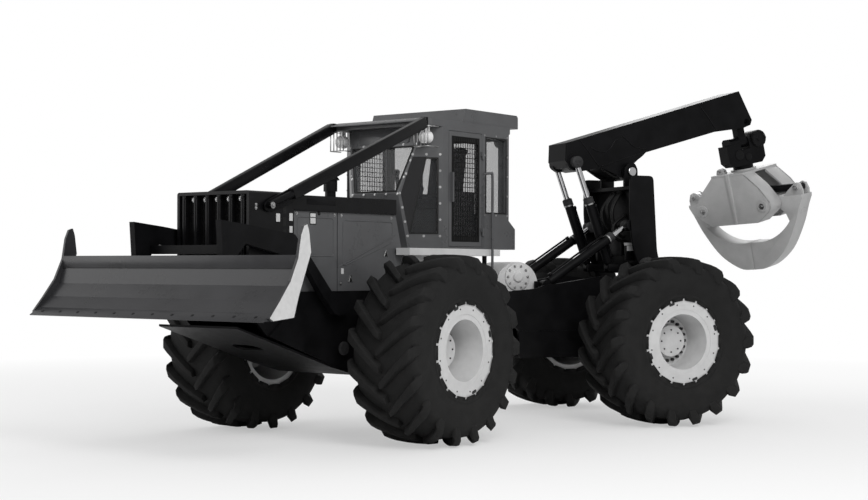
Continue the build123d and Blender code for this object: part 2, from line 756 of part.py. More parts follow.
# ================================================================ rear frame
rear_rail = [
    (400, 1420),
    (383, 1189),
    (543, 995),
    (560, 700),
    (2900, 700),
    (3000, 800),
    (3000, 1200),
    (2420, 1290),
    (2370, 1480),
    (2200, 1520),
    (1601, 1590),
    (998, 1500),
    (885, 1497),
    (760, 1450),
]
rail_width = rear_rail_outer - rear_rail_inner
arch_pin_radius = 60.0
with BuildPart() as rear_frame:
    for side in (-1, 1):
        low_x = min(side * rear_rail_inner, side * rear_rail_outer)
        slab(rear_rail, side_plane(low_x), rail_width)
        disc(side_plane(low_x, *arch_pivot), 110, rail_width)
        disc(side_plane(low_x, rear_axle_y, axle_z), axle_tube_radius + seat_gap, rail_width, Mode.SUBTRACT)
        disc(side_plane(low_x, *arch_pivot), arch_pin_radius + pin_gap, rail_width, Mode.SUBTRACT)
        boss_x = arch_cylinder_x + eye_side
        disc(side_plane(min(side * boss_x, side * rear_rail_inner), *arch_cylinder_base), 55, rear_rail_inner - boss_x)
        lug_x = arch_cylinder_x - eye_side
        block(
            sorted((side * (lug_x - 25), side * lug_x)),
            (arch_cylinder_base[0] - 100, arch_cylinder_base[0] + 40),
            (1380, arch_cylinder_base[1] + 40),
        )
    block((-rear_rail_inner, rear_rail_inner), (420, 470), (700, 1400))
    block((-rear_rail_inner, rear_rail_inner), (420, 1100), (1360, 1400))
    for y_range in ((560, 1650), (2220, 2900)):
        block((-rear_rail_inner, rear_rail_inner), y_range, (700, 720))
    block((-rear_rail_inner, rear_rail_inner), (2960, 3000), (800, 1200))
    block((-rear_rail_inner, rear_rail_inner), (1300, 1340), (720, 1400))
    block((-rear_rail_inner, rear_rail_inner), (2480, 2520), (720, 1250))
    for ear_z in (upper_ear_z, lower_ear_z):
        for low_z in (ear_z - 95, ear_z + 35):
            plane = Plane.XY.offset(low_z)
            disc(plane, pivot_ear_radius, 60)
            block((-pivot_ear_radius, pivot_ear_radius), (0, 425), (low_z, low_z + 60))
            disc(plane, pivot_pin_radius + pin_gap, 60, Mode.SUBTRACT)
    for side in (-1, 1):
        for lug_side in (-1, 1):
            low = steer_cylinder_z + lug_side * eye_side
            block(
                (side * steer_rear_lug[0] - 40, side * steer_rear_lug[0] + 40),
                (steer_rear_lug[1] - 40, 425),
                sorted((low, low + lug_side * steer_lug)),
            )
        block(
            (side * steer_rear_lug[0] - steer_window, side * steer_rear_lug[0] + steer_window),
            (rear_frame_start - 1, rear_frame_start + 51),
            (steer_cylinder_z - eye_side, steer_cylinder_z + eye_side),
            Mode.SUBTRACT,
        )
    block((-tow_eye_half, tow_eye_half), (2999, tow_eye_y + tow_eye_half), (tow_eye_z, tow_eye_z + tow_eye_thickness))
    with Locations((0, tow_eye_y, tow_eye_z + tow_eye_thickness / 2)):
        Cylinder(tow_eye_radius, tow_eye_thickness, mode=Mode.SUBTRACT)
write(rear_frame, "rear_frame", rear_place)

with BuildPart() as winch:
    with BuildSketch(side_plane(-300)):
        with Locations((620, 1490)):
            Circle(250)
            Rectangle(600, 400, align=(Align.CENTER, Align.MAX), mode=Mode.SUBTRACT)
    extrude(amount=600)
    block((-300, 300), (400, 860), (1400.3, 1492))
write(winch, "winch", rear_place)

# ================================================================ arch
arch_outline = [
    (1880, 1960),
    (1880, 2560),
    (1960, 2650),
    (2110, 2650),
    (2190, 2560),
    (2360, 1440),
    (2340, 1340),
    (2250, 1300),
    (2160, 1340),
    (2110, 1500),
]
ear_inner = boom_half + 40
boom_pin_radius = 47.5
lug_half = eye_width / 2 + side_gap
boom_eye_inner = boom_cylinder_x - lug_half
with BuildPart() as arch:
    for side in (-1, 1):
        low_x = min(side * arch_plate_inner, side * arch_plate_outer)
        slab(arch_outline, side_plane(low_x), arch_plate_outer - arch_plate_inner)
        disc(side_plane(low_x, *arch_pivot), 115, arch_plate_outer - arch_plate_inner)
        bar((side * (rear_rail_inner - 20), *arch_pivot), (side * (arch_plate_outer + 15), *arch_pivot), arch_pin_radius)
        boss_x = arch_cylinder_x + lug_half
        disc(side_plane(min(side * boss_x, side * arch_plate_inner), *arch_cylinder_eye), 60, arch_plate_inner - boss_x)
        ear = [(1990, 2560), (1990, 2800), (2040, 2870), (2120, 2870), (2160, 2800), (2160, 2560)]
        slab(ear, side_plane(min(side * ear_inner, side * (ear_inner + 40))), 40)
        disc(side_plane(min(side * ear_inner, side * (ear_inner + 40)), *boom_pivot), boom_pin_radius + pin_gap, 40, Mode.SUBTRACT)
        for x in (boom_cylinder_x - lug_half - 25, boom_cylinder_x + lug_half):
            block(sorted((side * x, side * (x + 25))), (boom_cylinder_base[0] - 40, 2100), (boom_cylinder_base[1] - 45, boom_cylinder_base[1] + 40))
    block((-arch_plate_inner - 1, arch_plate_inner + 1), (2080, 2120), (1620, 2600))
    block((-arch_plate_inner - 1, arch_plate_inner + 1), (1990, 2120), (2560, 2600))
write(arch, "arch", rear_place)

# ================================================================ boom
boom_outline = [
    (1089, 3020),
    (1072, 2810),
    (1491, 2762),
    (1732, 2809),
    (2010, 2700),
    (2077, 2675),
    (2176, 2740),
    (2317, 2999),
    (3250, 3269),
    (3649, 3330),
    (3750, 3370),
    (3770, 3430),
    (3585, 3760),
    (3022, 3592),
    (1480, 3130),
]
link_half = 80.0
link_pin_radius = 40.0
with BuildPart() as boom:
    slab(boom_outline, side_plane(-boom_half), 2 * boom_half)
    bar((-ear_inner + side_gap, *boom_pivot), (ear_inner - side_gap, *boom_pivot), 90)
    bar((-ear_inner - 60, *boom_pivot), (ear_inner + 60, *boom_pivot), boom_pin_radius)
    for side in (-1, 1):
        boss_x = boom_cylinder_x - lug_half
        disc(side_plane(min(side * boom_half, side * boss_x), *boom_cylinder_eye), 55, boss_x - boom_half)
    slab([(3560, 3200), (3560, 3560), (3900, 3560), (3900, 3200)], side_plane(-link_half - side_gap), 2 * link_half + 2 * side_gap, Mode.SUBTRACT)
    bar((-boom_half, *link_pin), (boom_half, *link_pin), link_pin_radius)
write(boom, "boom", rear_place)

# ================================================================ grapple
grapple_tilt_turn = radians(grapple_tilt)
swing_pin_drop = 220.0
hang = Vector(0, sin(grapple_tilt_turn), -cos(grapple_tilt_turn))
fore = Vector(0, cos(grapple_tilt_turn), sin(grapple_tilt_turn))
link_top = Vector(0, *link_pin)
swing_pin = link_top + hang * swing_pin_drop
link_plane = Plane(origin=link_top, x_dir=(1, 0, 0), z_dir=-hang)
yoke_plane = Plane(origin=swing_pin, x_dir=(1, 0, 0), z_dir=-hang)
link_place = rear_place * link_plane.location
yoke_place = rear_place * yoke_plane.location

yaw, roll = radians(grapple_yaw), radians(grapple_roll)
open_way = Vector(cos(yaw), sin(yaw), 0)
pin_way = Vector(-sin(yaw) * cos(grapple_tilt_turn), cos(yaw) * cos(grapple_tilt_turn), sin(grapple_tilt_turn))
up_way = open_way.cross(pin_way)
grapple_plane = Plane(
    origin=grapple_centre,
    x_dir=open_way * cos(roll) + up_way * sin(roll),
    z_dir=up_way * cos(roll) - open_way * sin(roll),
)
grapple_place = rear_place * grapple_plane.location

swing_half = 60.0
swing_radius = 70.0
swing_pin_radius = 35.0
with BuildPart() as link:
    disc(side_plane(-link_half), swing_radius, 2 * link_half)
    block((-50, 50), (-50, 50), (-swing_pin_drop, 0))
    disc(Plane(origin=(0, -swing_half, -swing_pin_drop), z_dir=(0, 1, 0)), swing_radius, 2 * swing_half)
    disc(Plane(origin=(0, -swing_half, -swing_pin_drop), z_dir=(0, 1, 0)), swing_pin_radius + pin_gap, 2 * swing_half, Mode.SUBTRACT)
    disc(side_plane(-link_half), link_pin_radius + pin_gap, 2 * link_half, Mode.SUBTRACT)
write(link, "boom_link", link_place)

rotator_top = 560.0
rotator_seam = 430.0
yoke_half = 262.0
with BuildPart() as yoke:
    block((-90, 90), (-yoke_half, yoke_half), (-280, -20))
    chamfer(yoke.edges().filter_by(Axis.X).group_by(Axis.Z)[0], 60)
    block((-85, 85), (-yoke_half + 60, yoke_half - 60), (-40, 55))
    chamfer(yoke.edges().filter_by(Axis.Y).group_by(Axis.Z)[-1], 30)
    block((-95, 95), (-swing_half - side_gap, swing_half + side_gap), (-95, 200), Mode.SUBTRACT)
    bar((0, -yoke_half + 60, 0), (0, yoke_half - 60, 0), swing_pin_radius)
    lower = Plane(yoke_plane.location.inverse() * grapple_plane.location)
    disc(lower.offset(rotator_seam + side_gap), 120, rotator_top - rotator_seam - side_gap)
write(yoke, "grapple_yoke", yoke_place)

tong_pin_radius = 40.0
head_outline = [
    (-225, 385),
    (225, 385),
    (380, 225),
    (500, 100),
    (505, -50),
    (410, -192),
    (-410, -192),
    (-505, -50),
    (-500, 100),
    (-380, 225),
]


def across(v):
    """A plane square to the tongs' pins at this depth, with the grapple's width and height on it."""
    return Plane(origin=(0, v, 0), x_dir=(1, 0, 0), z_dir=(0, -1, 0))


with BuildPart() as head:
    for v in (-head_depth / 2 + head_plate, head_depth / 2):
        slab(head_outline, across(v), head_plate)
    block((-225, 225), (-head_depth / 2, head_depth / 2), (385, 410))
    disc(Plane.XY.offset(409), 150, rotator_seam - 409)
    for side in (-1, 1):
        for v in (-115, head_depth / 2):
            cover = [(side * 225, 410), (side * 225, 385), (side * 385, 222), (side * 405, 235)]
            slab(cover, across(v), head_depth / 2 - 115)
        disc(across(head_depth / 2 + 10).shift_origin((side * tong_pin_x, head_depth / 2 + 10, 0)), tong_pin_radius, head_depth + 20)
write(head, "grapple_head", grapple_place)

tong_outline = [
    (385, 60),
    (560, 85),
    (690, 185),
    (735, 205),
    (785, 185),
    (812, 110),
    (805, 20),
    (755, -73),
    (641, -302),
    (465, -555),
    (251, -745),
    (3, -790),
    (3, -455),
    (116, -451),
    (361, -409),
    (540, -300),
    (590, -236),
    (560, -150),
    (480, -70),
    (385, -60),
]
hub_half = head_depth / 2 - head_plate - side_gap
lobe_x, lobe_z = tong_lobe
for name, side in (("left", 1), ("right", -1)):
    with BuildPart() as tong:
        slab([(side * u, w) for u, w in tong_outline], across(tong_half_width), 2 * tong_half_width)
        disc(across(hub_half).shift_origin((side * tong_pin_x, hub_half, 0)), 75, 2 * hub_half)
        disc(across(hub_half).shift_origin((side * tong_pin_x, hub_half, 0)), tong_pin_radius + pin_gap, 2 * hub_half, Mode.SUBTRACT)
        for v_range in ((-tong_half_width - 1, -75), (75, tong_half_width + 1)):
            block(sorted((side * 560, side * 900)), v_range, (60, 300), Mode.SUBTRACT)
        block(sorted((side * 600, side * 900)), (-lug_half, lug_half), (60, 300), Mode.SUBTRACT)
        block(sorted((side * 500, side * 698)), (-50, 50), (90, 300), Mode.SUBTRACT)
    write(tong, f"tong_{name}", grapple_place)

tong_run = 2 * lobe_x
tong_plane = Plane(origin=(lobe_x, 0, lobe_z), x_dir=(-1, 0, 0), z_dir=(0, 1, 0))
with BuildPart() as tong_barrel:
    barrel_on(tong_plane, 45, 28, 50, 800, 120)
write(tong_barrel, "tong_barrel", grapple_place)
with BuildPart() as tong_rod:
    rod_on(tong_plane, 28, 50, 520, tong_run)
write(tong_rod, "tong_rod", grapple_place)
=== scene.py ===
"""Looks of the grapple skidder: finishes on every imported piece, and the details that they lack.

Everything is in metres and +Z is up; the front faces -Y and the left side is +X.  Each half of
the machine is drawn straight, with the centre pivot as its origin, and is set down by that half's
own transform, so that the tables of numbers read like a drawing of a straight machine.
"""

import json
from math import atan2, cos, hypot, pi, radians, sin

import bmesh
import bpy
import numpy as np
from bpy.props import FloatProperty, FloatVectorProperty, IntProperty, PointerProperty
from mathutils import Matrix, Vector
from mathutils.bvhtree import BVHTree


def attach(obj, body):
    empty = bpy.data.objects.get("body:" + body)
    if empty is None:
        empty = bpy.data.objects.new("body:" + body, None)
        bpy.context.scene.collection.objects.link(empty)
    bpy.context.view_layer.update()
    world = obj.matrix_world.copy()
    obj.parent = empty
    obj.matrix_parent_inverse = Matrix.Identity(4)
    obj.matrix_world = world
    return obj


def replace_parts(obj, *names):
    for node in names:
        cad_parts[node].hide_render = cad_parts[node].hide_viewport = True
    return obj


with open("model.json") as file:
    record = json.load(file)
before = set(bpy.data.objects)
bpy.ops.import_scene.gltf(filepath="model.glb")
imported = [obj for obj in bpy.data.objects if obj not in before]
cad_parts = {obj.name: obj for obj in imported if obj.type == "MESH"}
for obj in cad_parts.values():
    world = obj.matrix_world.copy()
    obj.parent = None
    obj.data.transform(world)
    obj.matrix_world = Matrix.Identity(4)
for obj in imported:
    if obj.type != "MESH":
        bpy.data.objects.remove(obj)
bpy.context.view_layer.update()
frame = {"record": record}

bl_info = {
    "name": "Grapple Skidder",
    "version": (1, 0, 0),
    "blender": (4, 5, 0),
    "location": "3D View > Sidebar > Skidder",
    "description": "Dresses a packed grapple skidder with finishes, treads, guards, pipes and a studio",
    "category": "Object",
}

# ------------------------------------------------------------------ places
JOINTS = {joint["name"]: joint for joint in frame["record"]["behaviour"]["joints"]}
SLOT_OF_NODE = {row["node"]: row["material_slot"] for row in frame["record"]["subparts"]}
PIVOT = Vector((JOINTS["steering"]["pos_m"][0], JOINTS["steering"]["pos_m"][1], 0))
REAR_AXLE_LINE = Vector(JOINTS["wheel_rear_left_spin"]["axis"])
STEER_ANGLE = atan2(REAR_AXLE_LINE.y, REAR_AXLE_LINE.x)
FRONT = Matrix.Translation(PIVOT)
REAR = FRONT @ Matrix.Rotation(STEER_ANGLE, 4, "Z")

GRAPPLE_CENTRE = Vector((-0.066, 3.926, 2.454))
GRAPPLE_YAW = radians(20.3)
GRAPPLE_TILT = radians(12.0)
GRAPPLE_ROLL = radians(3.0)
LINK_PIN = (3.700, 3.400)  # y, z of the pin at the boom's end
LINK_DROP = 0.220

# what more than one group of details uses: how far out the sides lie, and the pins' (y, z)
HOOD_SIDE = 0.448
HOUSING_SIDE = 0.460
HOUSING_END = -3.090
CAB_SIDE = 0.640
BOOM_SIDE = 0.200
ARCH_PIVOT = (2.250, 1.400)
ARCH_EYE = (1.946, 2.152)
BOOM_PIVOT = (2.077, 2.768)
BOOM_EYE = (1.388, 2.857)
WINCH_AXLE = (0.620, 1.575)
# the grapple's pins in its own frame: how far the tongs' pins are from the middle, and a rod's pin
TONG_PIN = 0.420
ROD_PIN = (0.735, 0.145)
HEAD_TOP = 0.385
HEAD_FOOT = -0.192


def frame_of(x_way, z_way, origin):
    """A transform with given x and z directions and origin."""
    y_way = z_way.cross(x_way)
    return Matrix.Translation(origin) @ Matrix((x_way, y_way, z_way)).transposed().to_4x4()


def grapple_frames():
    """The yoke's and the grapple's own frames: they hang tilted, and the grapple is turned and rolled."""
    yaw, tilt = GRAPPLE_YAW, GRAPPLE_TILT
    hang = Vector((0, sin(tilt), -cos(tilt)))
    yoke = frame_of(Vector((1, 0, 0)), -hang, Vector((0, *LINK_PIN)) + LINK_DROP * hang)
    across = Vector((cos(yaw), sin(yaw), 0))
    pins = Vector((-sin(yaw) * cos(tilt), cos(yaw) * cos(tilt), sin(tilt)))
    up = across.cross(pins)
    x_way = across * cos(GRAPPLE_ROLL) + up * sin(GRAPPLE_ROLL)
    z_way = up * cos(GRAPPLE_ROLL) - across * sin(GRAPPLE_ROLL)
    return REAR @ yoke, REAR @ frame_of(x_way, z_way, GRAPPLE_CENTRE)


def wheel_frame(name, side):
    """A wheel's own frame: origin at its centre, x outwards along the axle, z up."""
    spin = JOINTS[f"wheel_{name}_spin"]
    return frame_of(side * Vector(spin["axis"]), Vector((0, 0, 1)), Vector(spin["pos_m"]))


WHEELS = (("front_left", 1), ("front_right", -1), ("rear_left", 1), ("rear_right", -1))
YOKE, GRAPPLE = grapple_frames()
# the frame in which a body's details are drawn; the bodies left out are drawn in the rear half's
PLACES = {
    "yoke_body": YOKE,
    **dict.fromkeys(("front", "door_left", "door_right", "blade_body", "blade_barrel_body"), FRONT),
    **dict.fromkeys(("head_body", "tong_left_body", "tong_right_body"), GRAPPLE),
    **{f"wheel_{name}": wheel_frame(name, side) for name, side in WHEELS},
}


# ------------------------------------------------------------------ outlines and paths
def rectangle(low_u, high_u, low_v, high_v):
    """A rectangle as an outline of (u, v)."""
    return [(low_u, low_v), (high_u, low_v), (high_u, high_v), (low_u, high_v)]


def centred(half_u, half_v):
    """A rectangle about the origin."""
    return rectangle(-half_u, half_u, -half_v, half_v)


def mirrored(outline, side):
    """The outline, or its mirror image on the other side, wound the same way round."""
    return outline if side > 0 else [(-u, v) for u, v in outline[::-1]]


def flipped(vector, side):
    """The vector, or its mirror image on the machine's other side."""
    return Vector((side * vector[0], vector[1], vector[2]))


def rounded(outline, radius, steps=5):
    """An outline whose corners are arcs: each arc is a quadratic curve between the corner's legs."""
    corners = np.array(outline, dtype=float)
    share = np.linspace(0, 1, steps)[:, None]
    points = []
    for index, corner in enumerate(corners):
        before = corners[index - 1] - corner
        after = corners[(index + 1) % len(corners)] - corner
        start = corner + before / np.linalg.norm(before) * radius
        end = corner + after / np.linalg.norm(after) * radius
        points.append(start * (1 - share) ** 2 + 2 * corner * share * (1 - share) + end * share**2)
    return np.concatenate(points).tolist()


def grown(outline, amount):
    """An outline of straight runs moved outwards: each run keeps its direction."""
    points = np.array(outline, dtype=float)
    after = np.roll(points, -1, axis=0) - points
    after /= np.linalg.norm(after, axis=1)[:, None]
    before = np.roll(after, 1, axis=0)
    middle = np.stack([(after + before)[:, 1], -(after + before)[:, 0]], axis=1)
    return points + middle * (amount * 2 / np.sum(middle**2, axis=1))[:, None]


def along_outline(outline, spacing):
    """Points at an even spacing along the runs of a closed outline."""
    points = np.array(outline, dtype=float)
    found = []
    for a, b in zip(points, np.roll(points, -1, axis=0)):
        count = max(1, round(float(np.linalg.norm(b - a)) / spacing))
        found += [a + (b - a) * step / count for step in range(count)]
    return found


def curve_through(points, steps=12):
    """A smooth path through points: a cubic between each pair, its slope taken from the neighbours."""
    points = np.array(points, dtype=float)
    slope = np.gradient(points, axis=0)
    share = np.linspace(0, 1, steps, endpoint=False)[:, None]
    rows = []
    for a, b, slope_a, slope_b in zip(points[:-1], points[1:], slope[:-1], slope[1:]):
        rows.append(
            a * (2 * share**3 - 3 * share**2 + 1)
            + slope_a * (share**3 - 2 * share**2 + share)
            + b * (3 * share**2 - 2 * share**3)
            + slope_b * (share**3 - share**2)
        )
    return np.concatenate(rows + [points[-1:]])


def arc_through(start, middle, end, steps=16):
    """Points on the circle through three points, from the first to the last by way of the middle."""
    (ax, ay), (bx, by), (cx, cy) = start, middle, end
    span = 2 * (ax * (by - cy) + bx * (cy - ay) + cx * (ay - by))
    a, b, c = ax**2 + ay**2, bx**2 + by**2, cx**2 + cy**2
    x = (a * (by - cy) + b * (cy - ay) + c * (ay - by)) / span
    y = (a * (cx - bx) + b * (ax - cx) + c * (bx - ax)) / span
    first, _, last = np.unwrap([atan2(v - y, u - x) for u, v in (start, middle, end)])
    radius = hypot(ax - x, ay - y)
    return [(x + radius * cos(t), y + radius * sin(t)) for t in np.linspace(first, last, steps)]


def hull(points):
    """The convex outline round some points, counter-clockwise from its leftmost point."""
    ordered = sorted(map(tuple, points))
    halves = []
    for run in (ordered, ordered[::-1]):
        chain = []
        for x, y in run:
            while len(chain) > 1:
                (ax, ay), (bx, by) = chain[-2:]
                if (bx - ax) * (y - ay) - (by - ay) * (x - ax) > 0:
                    break
                chain.pop()
            chain.append((x, y))
        halves.append(chain[:-1])
    return halves[0] + halves[1]


def turns(count, first=0.0):
    """Angles at an even spacing round a circle."""
    return np.linspace(0, 2 * pi, count, endpoint=False) + first


# ------------------------------------------------------------------ meshes
SIDEWAYS = ((0, 1, 0), (0, 0, 1), (1, 0, 0))  # an outline of (y, z) carried along x
ACROSS = ((1, 0, 0), (0, 0, 1), (0, -1, 0))  # an outline of (x, z) carried along -y
UPRIGHT = ((1, 0, 0), (0, 1, 0), (0, 0, 1))  # an outline of (x, y) carried along z


def new_piece(name, points, faces, place, material, smooth=True):
    """A mesh object at the origin whose points are set down by a transform."""
    points = np.asarray(points, dtype=float).reshape(-1, 3)
    points = points @ np.array(place.to_3x3()).T + np.array(place.translation)
    mesh = bpy.data.meshes.new(name)
    mesh.from_pydata(points.tolist(), [], [list(face) for face in faces])
    mesh.validate()
    mesh.polygons.foreach_set("use_smooth", [smooth] * len(mesh.polygons))
    mesh.materials.append(material)
    mesh.update()
    piece = bpy.data.objects.new(name, mesh)
    bpy.context.scene.collection.objects.link(piece)
    return piece


def grid_faces(rows, columns, closed_rows=False, closed_columns=False):
    """Quads of a grid of rows by columns, joined round where asked."""
    row = np.arange(rows if closed_rows else rows - 1)
    column = np.arange(columns if closed_columns else columns - 1)
    r, c = np.meshgrid(row, column, indexing="ij")
    r2, c2 = (r + 1) % rows, (c + 1) % columns
    quads = np.stack([r * columns + c, r2 * columns + c, r2 * columns + c2, r * columns + c2], axis=-1)
    return quads.reshape(-1, 4).tolist()


def capped_faces(rows, columns):
    """Faces of a closed band of rings with a face over each end."""
    last = (rows - 1) * columns
    ends = [list(range(columns)), list(range(last, last + columns))]
    return grid_faces(rows, columns, closed_columns=True) + ends


class Parts:
    """Collects points and faces of many small solids into one mesh."""

    def __init__(self):
        self.points = []
        self.faces = []
        self.count = 0

    def add(self, points, faces):
        points = np.asarray(points, dtype=float).reshape(-1, 3)
        self.points.append(points)
        self.faces += [[index + self.count for index in face] for face in faces]
        self.count += len(points)

    def prism(self, outline, start, depth, axes=UPRIGHT, origin=(0, 0, 0)):
        """A closed outline (u, v) carried from start along w by a depth."""
        u, v, w = (np.array(axis, dtype=float) for axis in axes)
        flat = np.array(outline, dtype=float)
        ring = np.array(origin) + flat[:, :1] * u + flat[:, 1:] * v
        self.add([ring + start * w, ring + (start + depth) * w], capped_faces(2, len(flat)))

    def box(self, low, high):
        """A box between two corners."""
        self.prism(rectangle(low[0], high[0], low[1], high[1]), low[2], high[2] - low[2])

    def side_plate(self, outline, x, depth, side=1):
        """A plate with an outline of (y, z) whose inner face is at x, on one side of the machine."""
        self.prism(outline, x if side > 0 else -x - depth, depth, SIDEWAYS)

    def across_plate(self, outline, low_y, high_y):
        """A plate with an outline of (x, z) between two depths along y."""
        self.prism(outline, -high_y, high_y - low_y, ACROSS)

    def strip(self, outline, width, depth, axes, origin):
        """A flat frame between an outline and the same one grown by a width."""
        inner = np.array(outline, dtype=float)
        outer = grown(outline, width)
        u, v, w = (np.array(axis, dtype=float) for axis in axes)
        section = ((inner, 0), (outer, 0), (outer, depth), (inner, depth))
        rows = [np.array(origin) + row[:, :1] * u + row[:, 1:] * v + height * w for row, height in section]
        self.add(rows, grid_faces(4, len(inner), closed_rows=True, closed_columns=True))

    def turned(self, profile, centre, axis, sides):
        """The rings of a profile of (height along the axis, radius) turned about the axis."""
        axis = Vector(axis).normalized()
        side = axis.orthogonal().normalized()
        up = axis.cross(side)
        angle = turns(sides)[:, None]
        circle = np.cos(angle) * np.array(side) + np.sin(angle) * np.array(up)
        return [np.array(centre) + height * np.array(axis) + radius * circle for height, radius in profile]

    def lathe(self, profile, centre, axis, sides=24):
        """A turned profile with a face over each end."""
        self.add(self.turned(profile, centre, axis, sides), capped_faces(len(profile), sides))

    def ring(self, profile, centre, axis, sides=96):
        """A turned profile that closes on itself."""
        self.add(self.turned(profile, centre, axis, sides), grid_faces(len(profile), sides, True, True))

    def side_lathe(self, profile, side, centre, sides=24):
        """A turned profile that faces sideways; the centre is the left side's (x, y, z)."""
        x, y, z = centre
        self.lathe(profile, (side * x, y, z), (side, 0, 0), sides)

    def tube(self, path, radius, sides=10):
        """A round section carried along a path of points."""
        path = np.array(path, dtype=float)
        tangent = np.gradient(path, axis=0)
        tangent /= np.linalg.norm(tangent, axis=1)[:, None]
        normal = np.array(Vector(tangent[0]).orthogonal().normalized())
        angle = turns(sides)[:, None]
        rows = []
        for point, along in zip(path, tangent):
            normal = normal - along * normal.dot(along)
            normal /= np.linalg.norm(normal)
            across = np.cross(along, normal)
            rows.append(point + radius * (np.cos(angle) * normal + np.sin(angle) * across))
        self.add(rows, [face[::-1] for face in capped_faces(len(path), sides)])

    def rod(self, start, end, radius, sides=12):
        """A straight round bar between two points."""
        along = Vector(end) - Vector(start)
        self.lathe([(0, radius), (along.length, radius)], start, along, sides)

    def side_rod(self, side, low, high, point, radius, sides):
        """A round bar along x between two distances from the middle; the point is its (y, z)."""
        self.rod((side * low, *point), (side * high, *point), radius, sides)

    def bolt(self, centre, axis, radius=0.011, height=0.008):
        """A six-sided bolt head on a washer."""
        self.lathe([(0, radius * 1.6), (0.002, radius * 1.6)], centre, axis, 16)
        self.lathe([(0.001, radius), (height, radius), (height + 0.002, radius * 0.7)], centre, axis, 6)

    def side_bolt(self, side, centre, radius=0.011, height=0.008):
        """A bolt that faces sideways; the centre is the left side's (x, y, z)."""
        x, y, z = centre
        self.bolt((side * x, y, z), (side, 0, 0), radius, height)

    def bolt_circle(self, side, centre, circle, angles, radius, height):
        """Bolts that face sideways, on a circle about the left side's (x, y, z)."""
        x, y, z = centre
        for turn in angles:
            self.side_bolt(side, (x, y + circle * cos(turn), z + circle * sin(turn)), radius, height)

    def piece(self, name, body, finish_name, slot="", place=None, smooth=False, bevel=0.0):
        """Makes the mesh object, with its faces outwards and its edges rounded, and lets it ride.

        It is drawn in its body's frame unless a place is given; the slot argument is not used.
        """
        place = place or PLACES.get(body, REAR)
        points = np.concatenate(self.points)
        made = new_piece(name, points, self.faces, place, FINISHES[finish_name], smooth or bevel > 0)
        outwards = bmesh.new()
        outwards.from_mesh(made.data)
        bmesh.ops.recalc_face_normals(outwards, faces=outwards.faces)
        outwards.to_mesh(made.data)
        outwards.free()
        if bevel > 0:
            edges = made.modifiers.new("edges", "BEVEL")
            edges.width = bevel
            edges.segments = 2
            edges.limit_method = "ANGLE"
            edges.angle_limit = radians(35)
        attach(made, body)
        slot = slot or finish_name
        return made


def several(count):
    """As many empty collections as a group of details has pieces."""
    return [Parts() for _ in range(count)]


# ------------------------------------------------------------------ finishes
class Nodes:
    """Adds nodes to a material's or a world's tree; an input is linked to a socket or set to a value."""

    def __init__(self, owner):
        owner.use_nodes = True
        self.tree = owner.node_tree

    def feed(self, node, inputs):
        for key, value in inputs.items():
            if isinstance(value, bpy.types.NodeSocket):
                self.tree.links.new(value, node.inputs[key])
            else:
                node.inputs[key].default_value = value

    def add(self, kind, inputs, output=0, **settings):
        """Makes a node and gives back the output asked for."""
        node = self.tree.nodes.new("ShaderNode" + kind)
        for key, value in settings.items():
            setattr(node, key, value)
        self.feed(node, inputs)
        return node.outputs[output]

    def multiply(self, first, second):
        return self.add("Math", {0: first, 1: second}, operation="MULTIPLY")


DUST_TOP = 1.6
DUST_COLOUR = (0.16, 0.15, 0.14, 1)
GLOSS_SPREAD = 0.12


def finish(
    name,
    colour,
    roughness=0.45,
    metallic=0.0,
    variation=0.25,
    scale=6.0,
    bump=0.15,
    grain=180.0,
    dust=0.0,
    alpha=1.0,
    specular=0.5,
):
    """A procedural surface: clouded colour, varied gloss, fine grain in the bump and dust low down."""
    material = bpy.data.materials.new(name)
    nodes = Nodes(material)
    where = nodes.add("TexCoord", {}, "Object")
    clouds = nodes.add("TexNoise", {"Scale": scale, "Detail": 6.0, "Roughness": 0.6, "Vector": where})
    fine = nodes.add("TexNoise", {"Scale": grain, "Detail": 3.0, "Vector": where})
    base = nodes.add("ValToRGB", {"Fac": clouds})
    stops = zip(base.node.color_ramp.elements, (0.35, 0.65), (1 - variation, 1 + variation))
    for stop, position, strength in stops:
        stop.position = position
        stop.color = (*(min(1.0, channel * strength) for channel in colour), 1)
    if dust > 0:
        height = nodes.add("SeparateXYZ", {"Vector": where}, "Z")
        low = nodes.add("MapRange", {"From Min": DUST_TOP, "From Max": 0.0, "To Max": dust, "Value": height})
        patch = nodes.multiply(low, clouds)
        mixed = {"Factor": patch, "A": base, "B": DUST_COLOUR}
        base = nodes.add("Mix", mixed, "Result", data_type="RGBA")
    span = {"To Min": max(0.02, roughness - GLOSS_SPREAD), "To Max": min(1.0, roughness + GLOSS_SPREAD)}
    gloss = nodes.add("MapRange", {**span, "Value": clouds})
    relief = nodes.add("Bump", {"Strength": bump, "Distance": 0.002, "Height": fine})
    surface = {
        "Base Color": base,
        "Roughness": gloss,
        "Normal": relief,
        "Metallic": metallic,
        "Specular IOR Level": specular,
        "Alpha": alpha,
    }
    nodes.feed(material.node_tree.nodes["Principled BSDF"], surface)
    return material


FINISHES = {}


